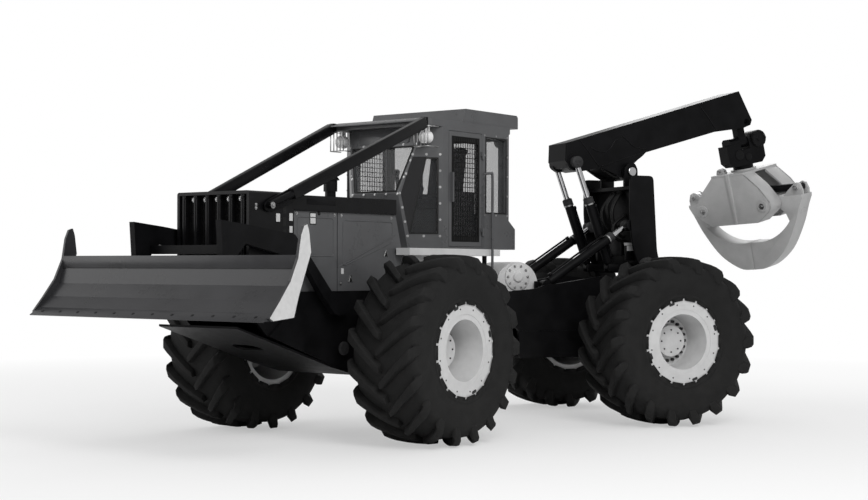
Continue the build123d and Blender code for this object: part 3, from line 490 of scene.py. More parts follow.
def make_finishes(look):
    """All finishes of the machine, from the colours of the look settings."""
    black = look.frame_colour
    rows = [
        # finish, name of the material, colour, roughness, what differs from a plain finish
        (
            "frame_black", "frame black paint", black, 0.36,
            dict(variation=0.3, scale=4, dust=0.03, specular=0.10),
        ),
        # the blade's finish is the frame's black paint made lighter: painted light that stands in for the
        # light on the blade's face
        (
            "blade_black_lit", "blade black with painted light", (0.030, 0.030, 0.032), 0.30,
            dict(variation=0.15, scale=3, specular=0.25),
        ),
        ("cover_black", "cover black paint", black, 0.30, dict(scale=5, specular=0.16)),
        (
            "body_dark_grey", "body paint", look.body_colour, 0.30,
            dict(variation=0.10, scale=3, specular=0.35),
        ),
        ("light_grey", "pale band paint", look.band_colour, 0.35, dict(variation=0.06, scale=5)),
        (
            "grapple_grey", "grapple paint", look.grapple_colour, 0.42,
            dict(variation=0.05, scale=7, bump=0.25),
        ),
        ("rim_grey", "rim paint", look.rim_colour, 0.38, dict(variation=0.05, scale=9)),
        (
            "rod_chrome", "chrome rod", (0.62, 0.62, 0.63), 0.10,
            dict(metallic=1.0, variation=0.05, bump=0.03),
        ),
        ("pin_steel", "pin steel", (0.42, 0.42, 0.42), 0.35, dict(metallic=1.0, variation=0.2)),
        (
            "cast_dark", "cast housing", (0.030, 0.030, 0.031), 0.6,
            dict(variation=0.35, bump=0.5, grain=90, dust=0.1, specular=0.2),
        ),
        (
            "tyre_rubber", "tyre rubber", look.tyre_colour, 0.75,
            dict(variation=0.22, scale=10, bump=0.5, grain=240, dust=0.05, specular=0.22),
        ),
        (
            "window_glass", "window glass", (0.06, 0.062, 0.065), 0.03,
            dict(variation=0.04, bump=0.0, alpha=0.24, specular=0.4),
        ),
        (
            "pane_black", "dark pane", (0.010, 0.010, 0.011), 0.06,
            dict(variation=0.1, bump=0.02, specular=0.45),
        ),
        (
            "seat_fabric", "seat cloth", (0.02, 0.02, 0.022), 0.85,
            dict(variation=0.3, scale=30, bump=0.6, grain=500),
        ),
        (
            "console_plastic", "cab plastic", (0.03, 0.03, 0.032), 0.55,
            dict(variation=0.2, bump=0.3, grain=300),
        ),
        (
            "lamp_glass", "lamp lens", (0.82, 0.82, 0.82), 0.08,
            dict(variation=0.05, specular=0.9, bump=0.1, grain=60),
        ),
        # hose rubber; the same dark also fills slots, holes and the hood's recess as painted shade
        (
            "hose_rubber", "hose rubber and painted shade", (0.010, 0.010, 0.010), 0.5,
            dict(variation=0.3, scale=30, bump=0.4, grain=400, specular=0.2),
        ),
        (
            "mesh_black", "guard mesh", (0.006, 0.006, 0.006), 0.5,
            dict(variation=0.3, scale=10, specular=0.12),
        ),
        ("plate_pale", "blank plate", (0.55, 0.55, 0.55), 0.4, dict(variation=0.05, scale=20)),
    ]
    for key, name, colour, roughness, rest in rows:
        FINISHES[key] = finish(name, colour, roughness, **rest)


class SKIDDER_PG_look(bpy.types.PropertyGroup):
    """Colours of the paints and the rubber."""

    frame_colour: FloatVectorProperty(
        name="Frame",
        description="Paint of frames, boom and covers",
        subtype="COLOR",
        default=(0.0045, 0.0045, 0.005),
    )
    body_colour: FloatVectorProperty(
        name="Body",
        description="Paint of the hood's sides and the cab",
        subtype="COLOR",
        default=(0.082, 0.083, 0.086),
    )
    band_colour: FloatVectorProperty(
        name="Band",
        description="Paint of the pale band and the winch",
        subtype="COLOR",
        default=(0.62, 0.62, 0.62),
    )
    grapple_colour: FloatVectorProperty(
        name="Grapple",
        description="Paint of the grapple",
        subtype="COLOR",
        default=(0.43, 0.43, 0.43),
    )
    rim_colour: FloatVectorProperty(
        name="Rims",
        description="Paint of the rims",
        subtype="COLOR",
        default=(0.58, 0.58, 0.58),
    )
    tyre_colour: FloatVectorProperty(
        name="Tyres",
        description="Rubber of the tyres",
        subtype="COLOR",
        default=(0.010, 0.010, 0.010),
    )


class SKIDDER_OT_paint(bpy.types.Operator):
    """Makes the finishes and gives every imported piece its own."""

    bl_idname = "skidder.paint"
    bl_label = "Paint"

    def execute(self, context):
        make_finishes(context.scene.skidder_look)
        # the blade takes the lighter copy of the frame's black, which is painted light; the roof takes the
        # body paint
        own = {"blade": "blade_black_lit", "cab_roof": "body_dark_grey"}
        for name, slot in SLOT_OF_NODE.items():
            mesh = bpy.data.objects[name].data
            mesh.materials.clear()
            mesh.materials.append(FINISHES[own.get(name, slot)])
        return {"FINISHED"}


# ------------------------------------------------------------------ wheels
CARCASS = [
    # offset outwards along the axle, radius
    (0.331, 0.446), (0.352, 0.462), (0.362, 0.480), (0.356, 0.500), (0.372, 0.540),
    (0.384, 0.600), (0.386, 0.650), (0.383, 0.700), (0.374, 0.745), (0.355, 0.785),
    (0.315, 0.812), (0.250, 0.826), (0.160, 0.834), (0.080, 0.837), (0.000, 0.838),
]
CARCASS_STEPS = 120
LUG = [
    # offset, how far along the turn, top radius, half width at the top, half width at the foot
    (-0.012, 0.00, 0.893, 0.026, 0.044),
    (0.030, 0.09, 0.899, 0.034, 0.052),
    (0.120, 0.33, 0.900, 0.036, 0.054),
    (0.210, 0.58, 0.898, 0.039, 0.058),
    (0.300, 0.82, 0.893, 0.044, 0.064),
    (0.355, 0.96, 0.884, 0.047, 0.068),
    (0.384, 1.03, 0.845, 0.046, 0.066),
    (0.390, 1.08, 0.790, 0.040, 0.056),
    (0.386, 1.11, 0.740, 0.030, 0.040),
]
SHOULDER = slice(-3, None)  # the stations at which a lug runs down the tyre's side
RIM_FACE = 0.3430
RIM_LIP = [
    # height along the axle, radius
    (0.330, 0.340), (0.3435, 0.340), (0.3440, 0.344), (0.3440, 0.454), (0.3410, 0.458), (0.330, 0.458),
]
WHEEL_NUTS = [
    # count, radius of their circle, foot, radius of a nut, its height
    (20, 0.2125, 0.015, 0.017, 0.032),
    (8, 0.118, 0.105, 0.009, 0.008),
]


def tread(tyre, turn_way):
    """A tyre's carcass and lugs in the wheel's frame.

    The carcass is a profile of (offset, radius) turned about the axle.  A lug is a section of six
    points carried from the tyre's middle to its shoulder: its angle about the axle falls evenly
    with the offset, and its top keeps the tyre's radius until it drops over the shoulder.
    """
    parts = Parts()
    half = np.array(CARCASS)
    profile = np.concatenate([half, half[-2::-1] * (-1, 1)])
    x, radius = profile[:, :1], profile[:, 1:]
    angle = turns(CARCASS_STEPS)
    points = np.stack([x + 0 * angle, radius * np.cos(angle), radius * np.sin(angle)], axis=-1)
    parts.add(points, grid_faces(len(profile), CARCASS_STEPS, closed_columns=True))

    offset, share, top, top_half, foot_half = np.array(LUG).T
    foot = np.interp(offset, half[::-1, 0], half[::-1, 1]) - 0.012
    foot[SHOULDER] = top[SHOULDER] - 0.035
    section = [
        # radius and sideways lean of the section's points, round from the foot and back to it
        (foot, -foot_half), (top - 0.006, -top_half * 1.06), (top, -top_half * 0.9),
        (top, top_half * 0.9), (top - 0.006, top_half * 1.06), (foot, foot_half),
    ]
    radius = np.stack([radius for radius, _ in section], axis=1)
    lean = np.stack([sideways / radius for radius, sideways in section], axis=1)
    across = np.repeat(offset[:, None], len(section), axis=1)
    across[SHOULDER, [0, -1]] -= 0.03
    faces = capped_faces(len(LUG), len(section))
    for side in (-1, 1):
        faces = [face[::-1] for face in faces] if side > 0 else faces
        for lug in range(tyre.lug_count):
            start = 2 * pi * (lug + (0.5 if side < 0 else 0.0)) / tyre.lug_count
            turn = (start - tyre.lug_turn * share * turn_way)[:, None] + lean
            parts.add(np.stack([side * across, radius * np.cos(turn), radius * np.sin(turn)], axis=-1), faces)
    return parts


class SKIDDER_PG_tyre(bpy.types.PropertyGroup):
    """Sizes of the tread."""

    lug_count: IntProperty(
        name="Lugs per side", description="Lugs on each side of a tyre", default=18, min=8, max=30
    )
    lug_turn: FloatProperty(
        name="Lug turn",
        description="How far a lug turns from middle to shoulder",
        default=0.36,
        unit="ROTATION",
    )


class SKIDDER_OT_tyres(bpy.types.Operator):
    """Replaces the four tyres by ones with a full tread."""

    bl_idname = "skidder.tyres"
    bl_label = "Tyres"

    def execute(self, context):
        for name, side in WHEELS:
            parts = tread(context.scene.skidder_tyre, side)
            made = parts.piece(f"tread_{name}", f"wheel_{name}", "tyre_rubber", bevel=0.006)
            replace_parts(made, f"tyre_{name}")
        return {"FINISHED"}


class SKIDDER_OT_rims(bpy.types.Operator):
    """Adds the rims' flanges, wheel nuts, hub bolts, and rings of small bolts and slots."""

    bl_idname = "skidder.rims"
    bl_label = "Rims"

    def execute(self, context):
        outwards = (1, 0, 0)
        for name, _ in WHEELS:
            nuts, dark, flange = several(3)
            for count, circle, start, nut, height in WHEEL_NUTS:
                profile = [(0, nut), (height, nut), (height + 0.004, nut * 0.6)]
                for turn in turns(count):
                    nuts.lathe(profile, (start, circle * cos(turn), circle * sin(turn)), outwards, 6)
            for turn in turns(12, 0.2):
                centre = (RIM_FACE, 0.395 * cos(turn), 0.395 * sin(turn))
                dark.lathe([(0, 0.008), (0.003, 0.008)], centre, outwards, 16)
            for turn in turns(4, 0.35):
                axes = ((0, -sin(turn), cos(turn)), (0, -cos(turn), -sin(turn)), outwards)
                centre = (0, 0.418 * cos(turn), 0.418 * sin(turn))
                dark.prism(rounded(centred(0.034, 0.014), 0.012), RIM_FACE, 0.003, axes, centre)
            flange.ring(RIM_LIP, (0, 0, 0), outwards)
            body = f"wheel_{name}"
            nuts.piece(f"nuts_{name}", body, "cast_dark")
            flange.piece(f"rim_flange_{name}", body, "rim_grey")
            dark.piece(f"ring_bolts_{name}", body, "cast_dark")
        return {"FINISHED"}


# ------------------------------------------------------------------ hood
HOOD_BOLTS = [
    # y, z
    (-2.410, 2.169), (-1.655, 2.164), (-3.590, 2.233), (-3.590, 2.204),
    (-2.420, 1.520), (-1.700, 1.500), (-3.040, 2.172), (-2.510, 2.172),
]
BLANK_PLATES = [
    # low y, high y, low z, high z
    (-3.328, -3.278, 2.088, 2.163),
    (-3.153, -3.108, 2.100, 2.170),
    (-3.150, -3.110, 1.992, 2.052),
    (-2.412, -2.376, 1.612, 1.666),
    (-2.852, -2.780, 2.082, 2.178),
]
HOUSING_SLOTS = [
    # low z, high z
    (2.165, 2.250),
    (2.050, 2.130),
    (1.985, 2.018),
    (1.720, 1.760),
]
LATCHES = [(-1.742, 1.802), (-2.278, 1.554)]
RISER_SHOE = [
    # y, z
    (-3.505, 2.190), (-3.420, 2.170), (-3.130, 2.265), (-3.100, 2.402),
    (-3.170, 2.395), (-3.440, 2.290), (-3.512, 2.245),
]
SHOE_BOLT = (-3.459, 2.231)
PANEL_FIELDS = [
    # outline of (y, z) of the field pressed into a side panel
    [(-3.030, 2.140), (-2.525, 2.140), (-2.525, 1.780), (-3.030, 1.780)],
    [(-2.386, 2.125), (-1.634, 2.125), (-1.634, 1.923), (-2.386, 1.685)],
]
CREASE_FOOT = (-2.462, 1.674)
CREASE_RUN = (0.876, 0.322)
CREASE_WAY = (0.939, 0.345)


def hood_side(y):
    """How far out the side's sheet lies at a place along the hood."""
    return HOUSING_SIDE if y < HOUSING_END else HOOD_SIDE


class SKIDDER_OT_hood(bpy.types.Operator):
    """Adds the creases, latches, slots of painted shade, bolts, blank plates, shoes and lips of the hood's
    sides.
    """

    bl_idname = "skidder.hood"
    bl_label = "Hood sides"

    def execute(self, context):
        bolts, dark, plates, crease, shoes, lips = several(6)
        for side in (-1, 1):
            for y, z in HOOD_BOLTS:
                bolts.side_bolt(side, (hood_side(y), y, z), 0.010)
            for plate in BLANK_PLATES:
                plates.side_plate(rounded(rectangle(*plate), 0.006), hood_side(plate[0]) - 0.001, 0.003, side)
            # the recess and the housing's slots are dark plates: painted shade where the sheet is drawn in and
            # where it is open
            recess = rounded(rectangle(-2.862, -2.770, 2.072, 2.188), 0.008)
            dark.side_plate(recess, HOOD_SIDE - 0.001, 0.0018, side)
            for low, high in HOUSING_SLOTS:
                slot = rounded(rectangle(-3.240, -3.195, low, high), 0.012)
                dark.side_plate(slot, HOUSING_SIDE - 0.001, 0.0022, side)
            dark.side_bolt(side, (HOOD_SIDE, -2.731, 2.182), 0.013, 0.006)
            for y, z in LATCHES:
                dark.side_lathe([(0, 0.020), (0.003, 0.020)], side, (HOOD_SIDE, y, z), 20)
                x = side * (HOOD_SIDE + 0.006)
                for way in (-1, 1):
                    bolts.rod((x, y, z + 0.042), (x, y + way * 0.028, z - 0.018), 0.0045)
                bolts.side_rod(side, HOOD_SIDE - 0.002, HOOD_SIDE + 0.010, (y, z + 0.040), 0.010, 12)
            along, rise = CREASE_WAY
            crease.prism(
                rounded([(-0.006, 0.000), (0.006, 0.000), (0.004, 0.005), (-0.004, 0.005)], 0.002, 3),
                0.0,
                hypot(*CREASE_RUN),
                ((0, -rise * side, along * side), (side, 0, 0), (0, along, rise)),
                (side * HOOD_SIDE, *CREASE_FOOT),
            )
            for field in PANEL_FIELDS:
                loop = rounded(field, 0.04, 6)
                crease.tube([(side * HOOD_SIDE, y, z) for y, z in [*loop, *loop[:2]]], 0.0055, 8)
            shoes.side_plate(rounded(RISER_SHOE, 0.02), 0.476, 0.012, side)
            shoes.side_plate(rounded(rectangle(-2.915, -2.508, 2.258, 2.318), 0.01), 0.459, 0.003, side)
            bolts.side_lathe([(0, 0.030), (0.008, 0.030)], side, (0.539, *SHOE_BOLT), 24)
            bolts.side_bolt(side, (0.547, *SHOE_BOLT), 0.016, 0.012)
            lips.side_plate(rectangle(-3.085, -1.590, 2.196, 2.208), 0.455, 0.013, side)
        bolts.piece("hood_bolts", "front", "pin_steel")
        # the dark latch discs and bolt, with the painted shade of the recess and the slots
        dark.piece("hood_slots", "front", "hose_rubber")
        plates.piece("hood_blank_plates", "front", "plate_pale", slot="light_grey")
        crease.piece("hood_crease", "front", "body_dark_grey")
        shoes.piece("riser_shoes", "front", "frame_black", bevel=0.003)
        lips.piece("cover_lips", "front", "cover_black", bevel=0.003)
        return {"FINISHED"}


GRILLE_FACE = -3.625
GRILLE_BAY = 0.150


class SKIDDER_OT_grille(bpy.types.Operator):
    """Adds the slats between the grille's ribs, the caps of the ribs and the bolts round them."""

    bl_idname = "skidder.grille"
    bl_label = "Grille"

    def execute(self, context):
        slats, bolts, caps = several(3)
        for x in np.arange(-0.300, 0.301, GRILLE_BAY):
            for step in np.linspace(-0.042, 0.042, 4):
                slats.box((x + step - 0.003, GRILLE_FACE, 1.502), (x + step + 0.003, -3.616, 2.300))
            for z in np.linspace(1.54, 2.26, 13):
                slats.box((x - 0.053, -3.624, z - 0.003), (x + 0.053, -3.617, z + 0.003))
            for z in (2.290, 1.560):
                bolts.bolt((x, GRILLE_FACE, z), (0, -1, 0), 0.013, 0.010)
        for rib in range(6):
            x = -0.375 + GRILLE_BAY * rib
            caps.lathe([(0, 0.020), (0.050, 0.020), (0.054, 0.016)], (x, GRILLE_FACE, 2.306), (0, -1, 0), 20)
            caps.box((x - 0.007, -3.681, 1.504), (x + 0.007, -3.674, 2.310))
        for side in (-1, 1):
            for z in (*np.linspace(1.90, 2.31, 8), *np.linspace(1.54, 1.84, 5)):
                bolts.bolt((side * 0.412, -3.620, z), (0, -1, 0), 0.011, 0.008)
        slats.piece("grille_slats", "front", "mesh_black", slot="frame_black")
        bolts.piece("grille_bolts", "front", "pin_steel")
        caps.piece("grille_rib_caps", "front", "frame_black", bevel=0.003)
        return {"FINISHED"}


GRAB_RAIL = [
    (0.636, -0.335, 1.640),
    (0.690, -0.290, 1.630),
    (0.700, -0.270, 1.680),
    (0.700, -0.270, 2.150),
    (0.700, -0.270, 2.620),
    (0.690, -0.290, 2.668),
    (0.636, -0.335, 2.660),
]
RISER_START = (0.520, -3.180, 2.342)
RISER_END = (0.618, -1.340, 3.131)


class SKIDDER_OT_rails(bpy.types.Operator):
    """Adds the risers' beams beside the hood and the tall grab rails behind the doors."""

    bl_idname = "skidder.rails"
    bl_label = "Risers and rails"

    def execute(self, context):
        rails, beams = several(2)
        for side in (-1, 1):
            rails.tube(curve_through([(side * x, y, z) for x, y, z in GRAB_RAIL], 8), 0.014, 14)
            start = flipped(RISER_START, side)
            run = flipped(RISER_END, side) - start
            way = run.normalized()
            across = Vector((0, 0, 1)).cross(way).normalized()
            beams.prism(centred(0.036, 0.055), 0.0, run.length, (across, way.cross(across), way), start)
        beams.piece("riser_beams", "front", "cover_black", bevel=0.008)
        rails.piece("grab_rails", "front", "body_dark_grey", smooth=True)
        return {"FINISHED"}


# ------------------------------------------------------------------ cab
CORNER_WAY = Vector((0.340, 0.305, 0)).normalized()
CORNER_OUT = Vector((CORNER_WAY.y, -CORNER_WAY.x, 0))
CORNER_START = Vector((0.300, -1.365, 0))
# outlines on the left corner's face: how far along it, z
QUARTER_WINDOW = [(0.130, 2.030), (0.400, 2.030), (0.400, 2.780), (0.290, 2.780)]
CORNER_PANE = [(0.115, 2.015), (0.129, 2.030), (0.288, 2.780), (0.288, 2.800), (0.150, 2.800), (0.030, 2.430)]
CORNER_EDGE = [(0.100, 1.995), (0.430, 1.995), (0.430, 2.825), (0.150, 2.825), (0.020, 2.430)]
# low y, high y, low z, high z
DOOR_OPENING = (-0.895, -0.440, 1.955, 3.015)
SIDE_WINDOW = (-0.300, 0.060, 2.260, 3.040)
SCREEN_LEAN = 0.2686
SCREEN_FOOT = Vector((0, -1.365, 2.430))
LENS = [(-0.004, 0.056), (0.006, 0.055), (0.014, 0.046), (0.019, 0.028), (0.021, 0.010)]
LAMP = (0.558, -1.273, 2.994)
CAGE_GAP = 0.045
CAGE_ENDS = (-0.098, 0.105)


class SKIDDER_OT_cab(bpy.types.Operator):
    """Adds the corner panes, window seals and bolts, blank header, visor, lenses and lamp cages."""

    bl_idname = "skidder.cab"
    bl_label = "Cab outside"

    def execute(self, context):
        seals, bolts, header, cages, lenses, panes = several(6)
        for side in (-1, 1):
            way, out = side * flipped(CORNER_WAY, side), flipped(CORNER_OUT, side)
            start = flipped(CORNER_START, side)
            axes = (way, (0, 0, 1), out)
            seals.strip(mirrored(QUARTER_WINDOW, side), 0.014, 0.005, axes, start)
            panes.prism(mirrored(CORNER_PANE, side), 0.0, 0.004, axes, start)
            for u, v in along_outline(mirrored(CORNER_EDGE, side), 0.17):
                bolts.bolt(start + way * u + Vector((0, 0, v)), out, 0.008, 0.006)
            window = mirrored(rectangle(*SIDE_WINDOW), side)
            axes = ((0, side, 0), (0, 0, 1), (side, 0, 0))
            seals.strip(window, 0.014, 0.004, axes, (side * CAB_SIDE, 0, 0))
            for u, v in along_outline(grown(window, 0.030), 0.19):
                bolts.side_bolt(side, (CAB_SIDE, side * u, v), 0.007, 0.005)
        lean = Vector((0, SCREEN_LEAN, 1)).normalized()
        out = Vector((0, -1, SCREEN_LEAN)).normalized()
        axes = ((1, 0, 0), lean, out)
        low, high = 0.025 * hypot(1, SCREEN_LEAN), 0.470 * hypot(1, SCREEN_LEAN)
        screen = [(-0.270, low), (0.270, low), (0.395, high), (-0.395, high)]
        seals.strip(screen, 0.015, 0.006, axes, SCREEN_FOOT)
        for u, v in along_outline(grown(screen, 0.034), 0.16):
            bolts.bolt(SCREEN_FOOT + Vector((u, 0, 0)) + lean * v, out, 0.008, 0.006)
        panel = rounded([(-0.330, 0.535), (0.330, 0.535), (0.345, 0.672), (-0.345, 0.672)], 0.02)
        header.prism(panel, -0.001, 0.008, axes, SCREEN_FOOT)
        header.side_plate([(-1.300, 3.186), (-1.415, 3.150), (-1.418, 3.138), (-1.300, 3.170)], -0.560, 1.120)
        for x in np.linspace(-0.52, 0.52, 9):
            bolts.bolt((x, -1.360, 3.1675), (0, -0.3, 0.95), 0.007, 0.006)
        for side in (-1, 1):
            x, y, z = side * LAMP[0], *LAMP[1:]
            lenses.lathe(LENS, (x, y, z), (0, -1, 0), 32)
            y -= CAGE_GAP
            low, high = CAGE_ENDS
            for step in np.linspace(-0.088, 0.088, 5):
                cages.rod((x + step, y, z + low), (x + step, y, z + high), 0.0055, 8)
            for end in CAGE_ENDS:
                cages.rod((x - 0.094, y, z + end), (x + 0.094, y, z + end), 0.0055, 8)
                for step in (-0.090, 0.090):
                    cages.rod((x + step, y, z + end), (x + step, -1.150, z + end), 0.0055, 8)
            lenses.lathe(LENS, (side * 0.500, 0.205, 3.035), (0, 1, 0), 32)
        panes.piece("corner_panes", "front", "pane_black", slot="cover_black")
        seals.piece("window_seals", "front", "hose_rubber")
        bolts.piece("cab_bolts", "front", "pin_steel")
        header.piece("header_and_visor", "front", "body_dark_grey", bevel=0.003)
        cages.piece("lamp_cages", "front", "pin_steel", smooth=True)
        lenses.piece("lamp_lenses", "front", "lamp_glass", smooth=True)
        return {"FINISHED"}


class SKIDDER_OT_door_guards(bpy.types.Operator):
    """Adds the black guards of the doors: a border, close bars and a row of slots at either end, drawn as dark
    marks of painted shade.
    """

    bl_idname = "skidder.door_guards"
    bl_label = "Door guards"

    def execute(self, context):
        low_y, high_y, low_z, high_z = DOOR_OPENING
        face, half_bar = CAB_SIDE + 0.0005, 0.0035
        border = [
            (low_y - 0.012, high_y + 0.012, high_z - 0.055, high_z + 0.012),
            (low_y - 0.012, high_y + 0.012, low_z - 0.012, low_z + 0.050),
            (low_y - 0.012, low_y + 0.018, low_z + 0.048, high_z - 0.053),
            (high_y - 0.018, high_y + 0.012, low_z + 0.048, high_z - 0.053),
        ]
        for name, side in (("left", 1), ("right", -1)):
            guard, slots = several(2)
            for strip in border:
                guard.side_plate(rectangle(*strip), face, 0.004, side)
            for z in np.linspace(low_z + 0.050, high_z - 0.055, 20)[1:-1]:
                guard.side_plate(rectangle(low_y, high_y, z - half_bar, z + half_bar), face, 0.005, side)
            for y in np.linspace(low_y + 0.018, high_y - 0.075, 10)[1:]:
                guard.side_plate(rectangle(y - half_bar, y + half_bar, low_z, high_z), face, 0.004, side)
            guard.side_plate(rectangle(high_y - 0.050, high_y - 0.042, low_z, high_z), face, 0.004, side)
            # the slots are dark marks on the guard: painted shade where it has holes
            for y in np.linspace(low_y + 0.035, high_y - 0.035, 11):
                for z in (low_z + 0.019, high_z - 0.020):
                    slot = rounded(rectangle(y - 0.006, y + 0.006, z - 0.018, z + 0.018), 0.005)
                    slots.side_plate(slot, face + 0.0035, 0.0015, side)
            guard.piece(f"door_guard_{name}", f"door_{name}", "mesh_black", slot="frame_black")
            slots.piece(f"door_guard_slots_{name}", f"door_{name}", "hose_rubber")
        return {"FINISHED"}


WHEEL_RADIUS = 0.190
GRIP_RADIUS = 0.016


class SKIDDER_OT_controls(bpy.types.Operator):
    """Adds the steering wheel with its column, and the two levers, inside the cab."""

    bl_idname = "skidder.controls"
    bl_label = "Cab inside"

    def execute(self, context):
        wheel = Parts()
        centre = Vector((0.0, -0.860, 2.440))
        tilt = Vector((0, -0.62, 0.78)).normalized()
        side = Vector((1, 0, 0))
        up = tilt.cross(side)
        a, b = np.meshgrid(turns(40), turns(10), indexing="ij")
        radius = WHEEL_RADIUS + GRIP_RADIUS * np.cos(b)
        grip = (
            np.array(centre)
            + (radius * np.cos(a))[..., None] * np.array(side)
            + (radius * np.sin(a))[..., None] * np.array(up)
            + (GRIP_RADIUS * np.sin(b))[..., None] * np.array(tilt)
        )
        wheel.add(grip, grid_faces(*a.shape, closed_rows=True, closed_columns=True))
        for turn in (0.5, 2.64, 4.71):
            spoke = centre + side * WHEEL_RADIUS * cos(turn) + up * WHEEL_RADIUS * sin(turn)
            wheel.rod(centre - tilt * 0.02, spoke, 0.010)
        wheel.lathe([(-0.04, 0.045), (0.0, 0.050), (0.012, 0.035)], centre, tilt, 24)
        wheel.rod(centre - tilt * 0.03, (0, -1.140, 2.190), 0.030)
        knob = [(0, 0.020), (0.02, 0.034), (0.05, 0.036), (0.07, 0.020)]
        for x in (-0.31, 0.31):
            wheel.rod((x, -0.612, 2.600), (x, -0.622, 2.690), 0.024)
            wheel.lathe(knob, (x, -0.622, 2.660), (0, -0.1, 1), 20)
        wheel.piece("steering_wheel_and_levers", "front", "console_plastic", smooth=True)
        return {"FINISHED"}


SEAT_VOXEL = 0.009
SEAT_PRESSURE = 4.0
SEAT_FRAMES = 20
SEAT_SWELL = 0.024
SEAT_PIPING = [
    # points of (x, y, z) near the padded surface
    [(-0.15, -0.600, 2.42), (-0.15, -0.420, 2.43), (-0.15, -0.250, 2.43)],
    [(0.15, -0.600, 2.42), (0.15, -0.420, 2.43), (0.15, -0.250, 2.43)],
    [(-0.14, -0.215, 2.50), (-0.14, -0.190, 2.70), (-0.14, -0.150, 2.93)],
    [(0.14, -0.215, 2.50), (0.14, -0.190, 2.70), (0.14, -0.150, 2.93)],
    [(-0.20, -0.200, 2.62), (0.0, -0.205, 2.62), (0.20, -0.200, 2.62)],
]


def vertex_places(mesh):
    """The mesh's vertices as rows of x, y and z."""
    places = np.empty(len(mesh.vertices) * 3)
    mesh.vertices.foreach_get("co", places)
    return places.reshape(-1, 3)


class SKIDDER_OT_seat(bpy.types.Operator):
    """Replaces the seat by a padded one: its own shape, remeshed and blown up a little as cloth."""

    bl_idname = "skidder.seat"
    bl_label = "Seat"

    def execute(self, context):
        scene = context.scene
        mesh = bpy.data.objects["seat"].data.copy()
        work = bmesh.new()
        work.from_mesh(mesh)
        bmesh.ops.remove_doubles(work, verts=work.verts, dist=1e-5)
        work.to_mesh(mesh)
        work.free()
        pad = bpy.data.objects.new("seat_pads", mesh)
        scene.collection.objects.link(pad)
        remesh = pad.modifiers.new("remesh", "REMESH")
        remesh.mode = "VOXEL"
        remesh.voxel_size = SEAT_VOXEL
        self.settle(context, pad)
        before = vertex_places(pad.data)
        cloth = pad.modifiers.new("cloth", "CLOTH")
        cloth.settings.use_pressure = True
        cloth.settings.uniform_pressure_force = SEAT_PRESSURE
        cloth.settings.effector_weights.gravity = 0.0
        cloth.settings.quality = 4
        for step in range(1, SEAT_FRAMES + 1):
            scene.frame_set(step)
        self.settle(context, pad)
        scene.frame_set(1)
        move = vertex_places(pad.data) - before
        length = np.linalg.norm(move, axis=1)
        move *= (SEAT_SWELL / np.maximum(length, SEAT_SWELL))[:, None]
        # the seat's foot stays where it is, and nothing sinks below it
        floor = np.min(before[:, 2])
        low = np.clip((before[:, 2] - floor) / 0.03, 0, 1)
        move[:, 2] = np.where(move[:, 2] < 0, move[:, 2] * low * 0.4, move[:, 2])
        placed = before + move
        placed[:, 2] = np.maximum(placed[:, 2], floor)
        pad.data.vertices.foreach_set("co", placed.ravel())
        pad.data.polygons.foreach_set("use_smooth", [True] * len(pad.data.polygons))
        pad.data.materials.clear()
        pad.data.materials.append(FINISHES["seat_fabric"])
        smooth = pad.modifiers.new("soften", "SUBSURF")
        smooth.levels = smooth.render_levels = 1
        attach(pad, "front")
        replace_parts(pad, "seat")
        self.piping(pad)
        return {"FINISHED"}

    def settle(self, context, piece):
        """Applies the piece's modifiers to its mesh."""
        graph = context.evaluated_depsgraph_get()
        made = bpy.data.meshes.new_from_object(piece.evaluated_get(graph), depsgraph=graph)
        piece.modifiers.clear()
        piece.data = made

    def piping(self, pad):
        """Cord sewn over the pads: each path is laid on the nearest point of the padded surface."""
        mesh = pad.data
        tree = BVHTree.FromPolygons([v.co for v in mesh.vertices], [list(p.vertices) for p in mesh.polygons])
        parts = Parts()
        for loop in SEAT_PIPING:
            found = [tree.find_nearest(FRONT @ Vector(point)) for point in curve_through(loop, 14)]
            parts.tube([point + normal * 0.001 for point, normal, _, _ in found], 0.0035, 8)
        parts.piece("seat_piping", "front", "hose_rubber", place=Matrix.Identity(4), smooth=True)


# ------------------------------------------------------------------ blade and front frame
END_PLATE = [
    # y, z
    (-4.060, 2.035), (-4.105, 2.020), (-4.142, 1.938), (-4.177, 1.748), (-4.268, 1.560), (-4.404, 1.390),
    (-4.516, 1.261), (-4.470, 1.234), (-4.221, 1.258), (-4.163, 1.434), (-4.012, 1.798), (-4.037, 1.972),
]
CUTTING_EDGE = [(-4.566, 1.233), (-4.556, 1.226), (-4.452, 1.292), (-4.462, 1.300)]
BLADE_RAIL = [(-4.184, 1.664), (-4.177, 1.664), (-4.171, 1.776), (-4.178, 1.776)]
BLADE_HALF = 1.476
FRAME_BOSSES = [
    # y, z, radius, length
    (-2.443, 1.315, 0.055, 0.020),
    (-2.441, 0.905, 0.065, 0.022),
]


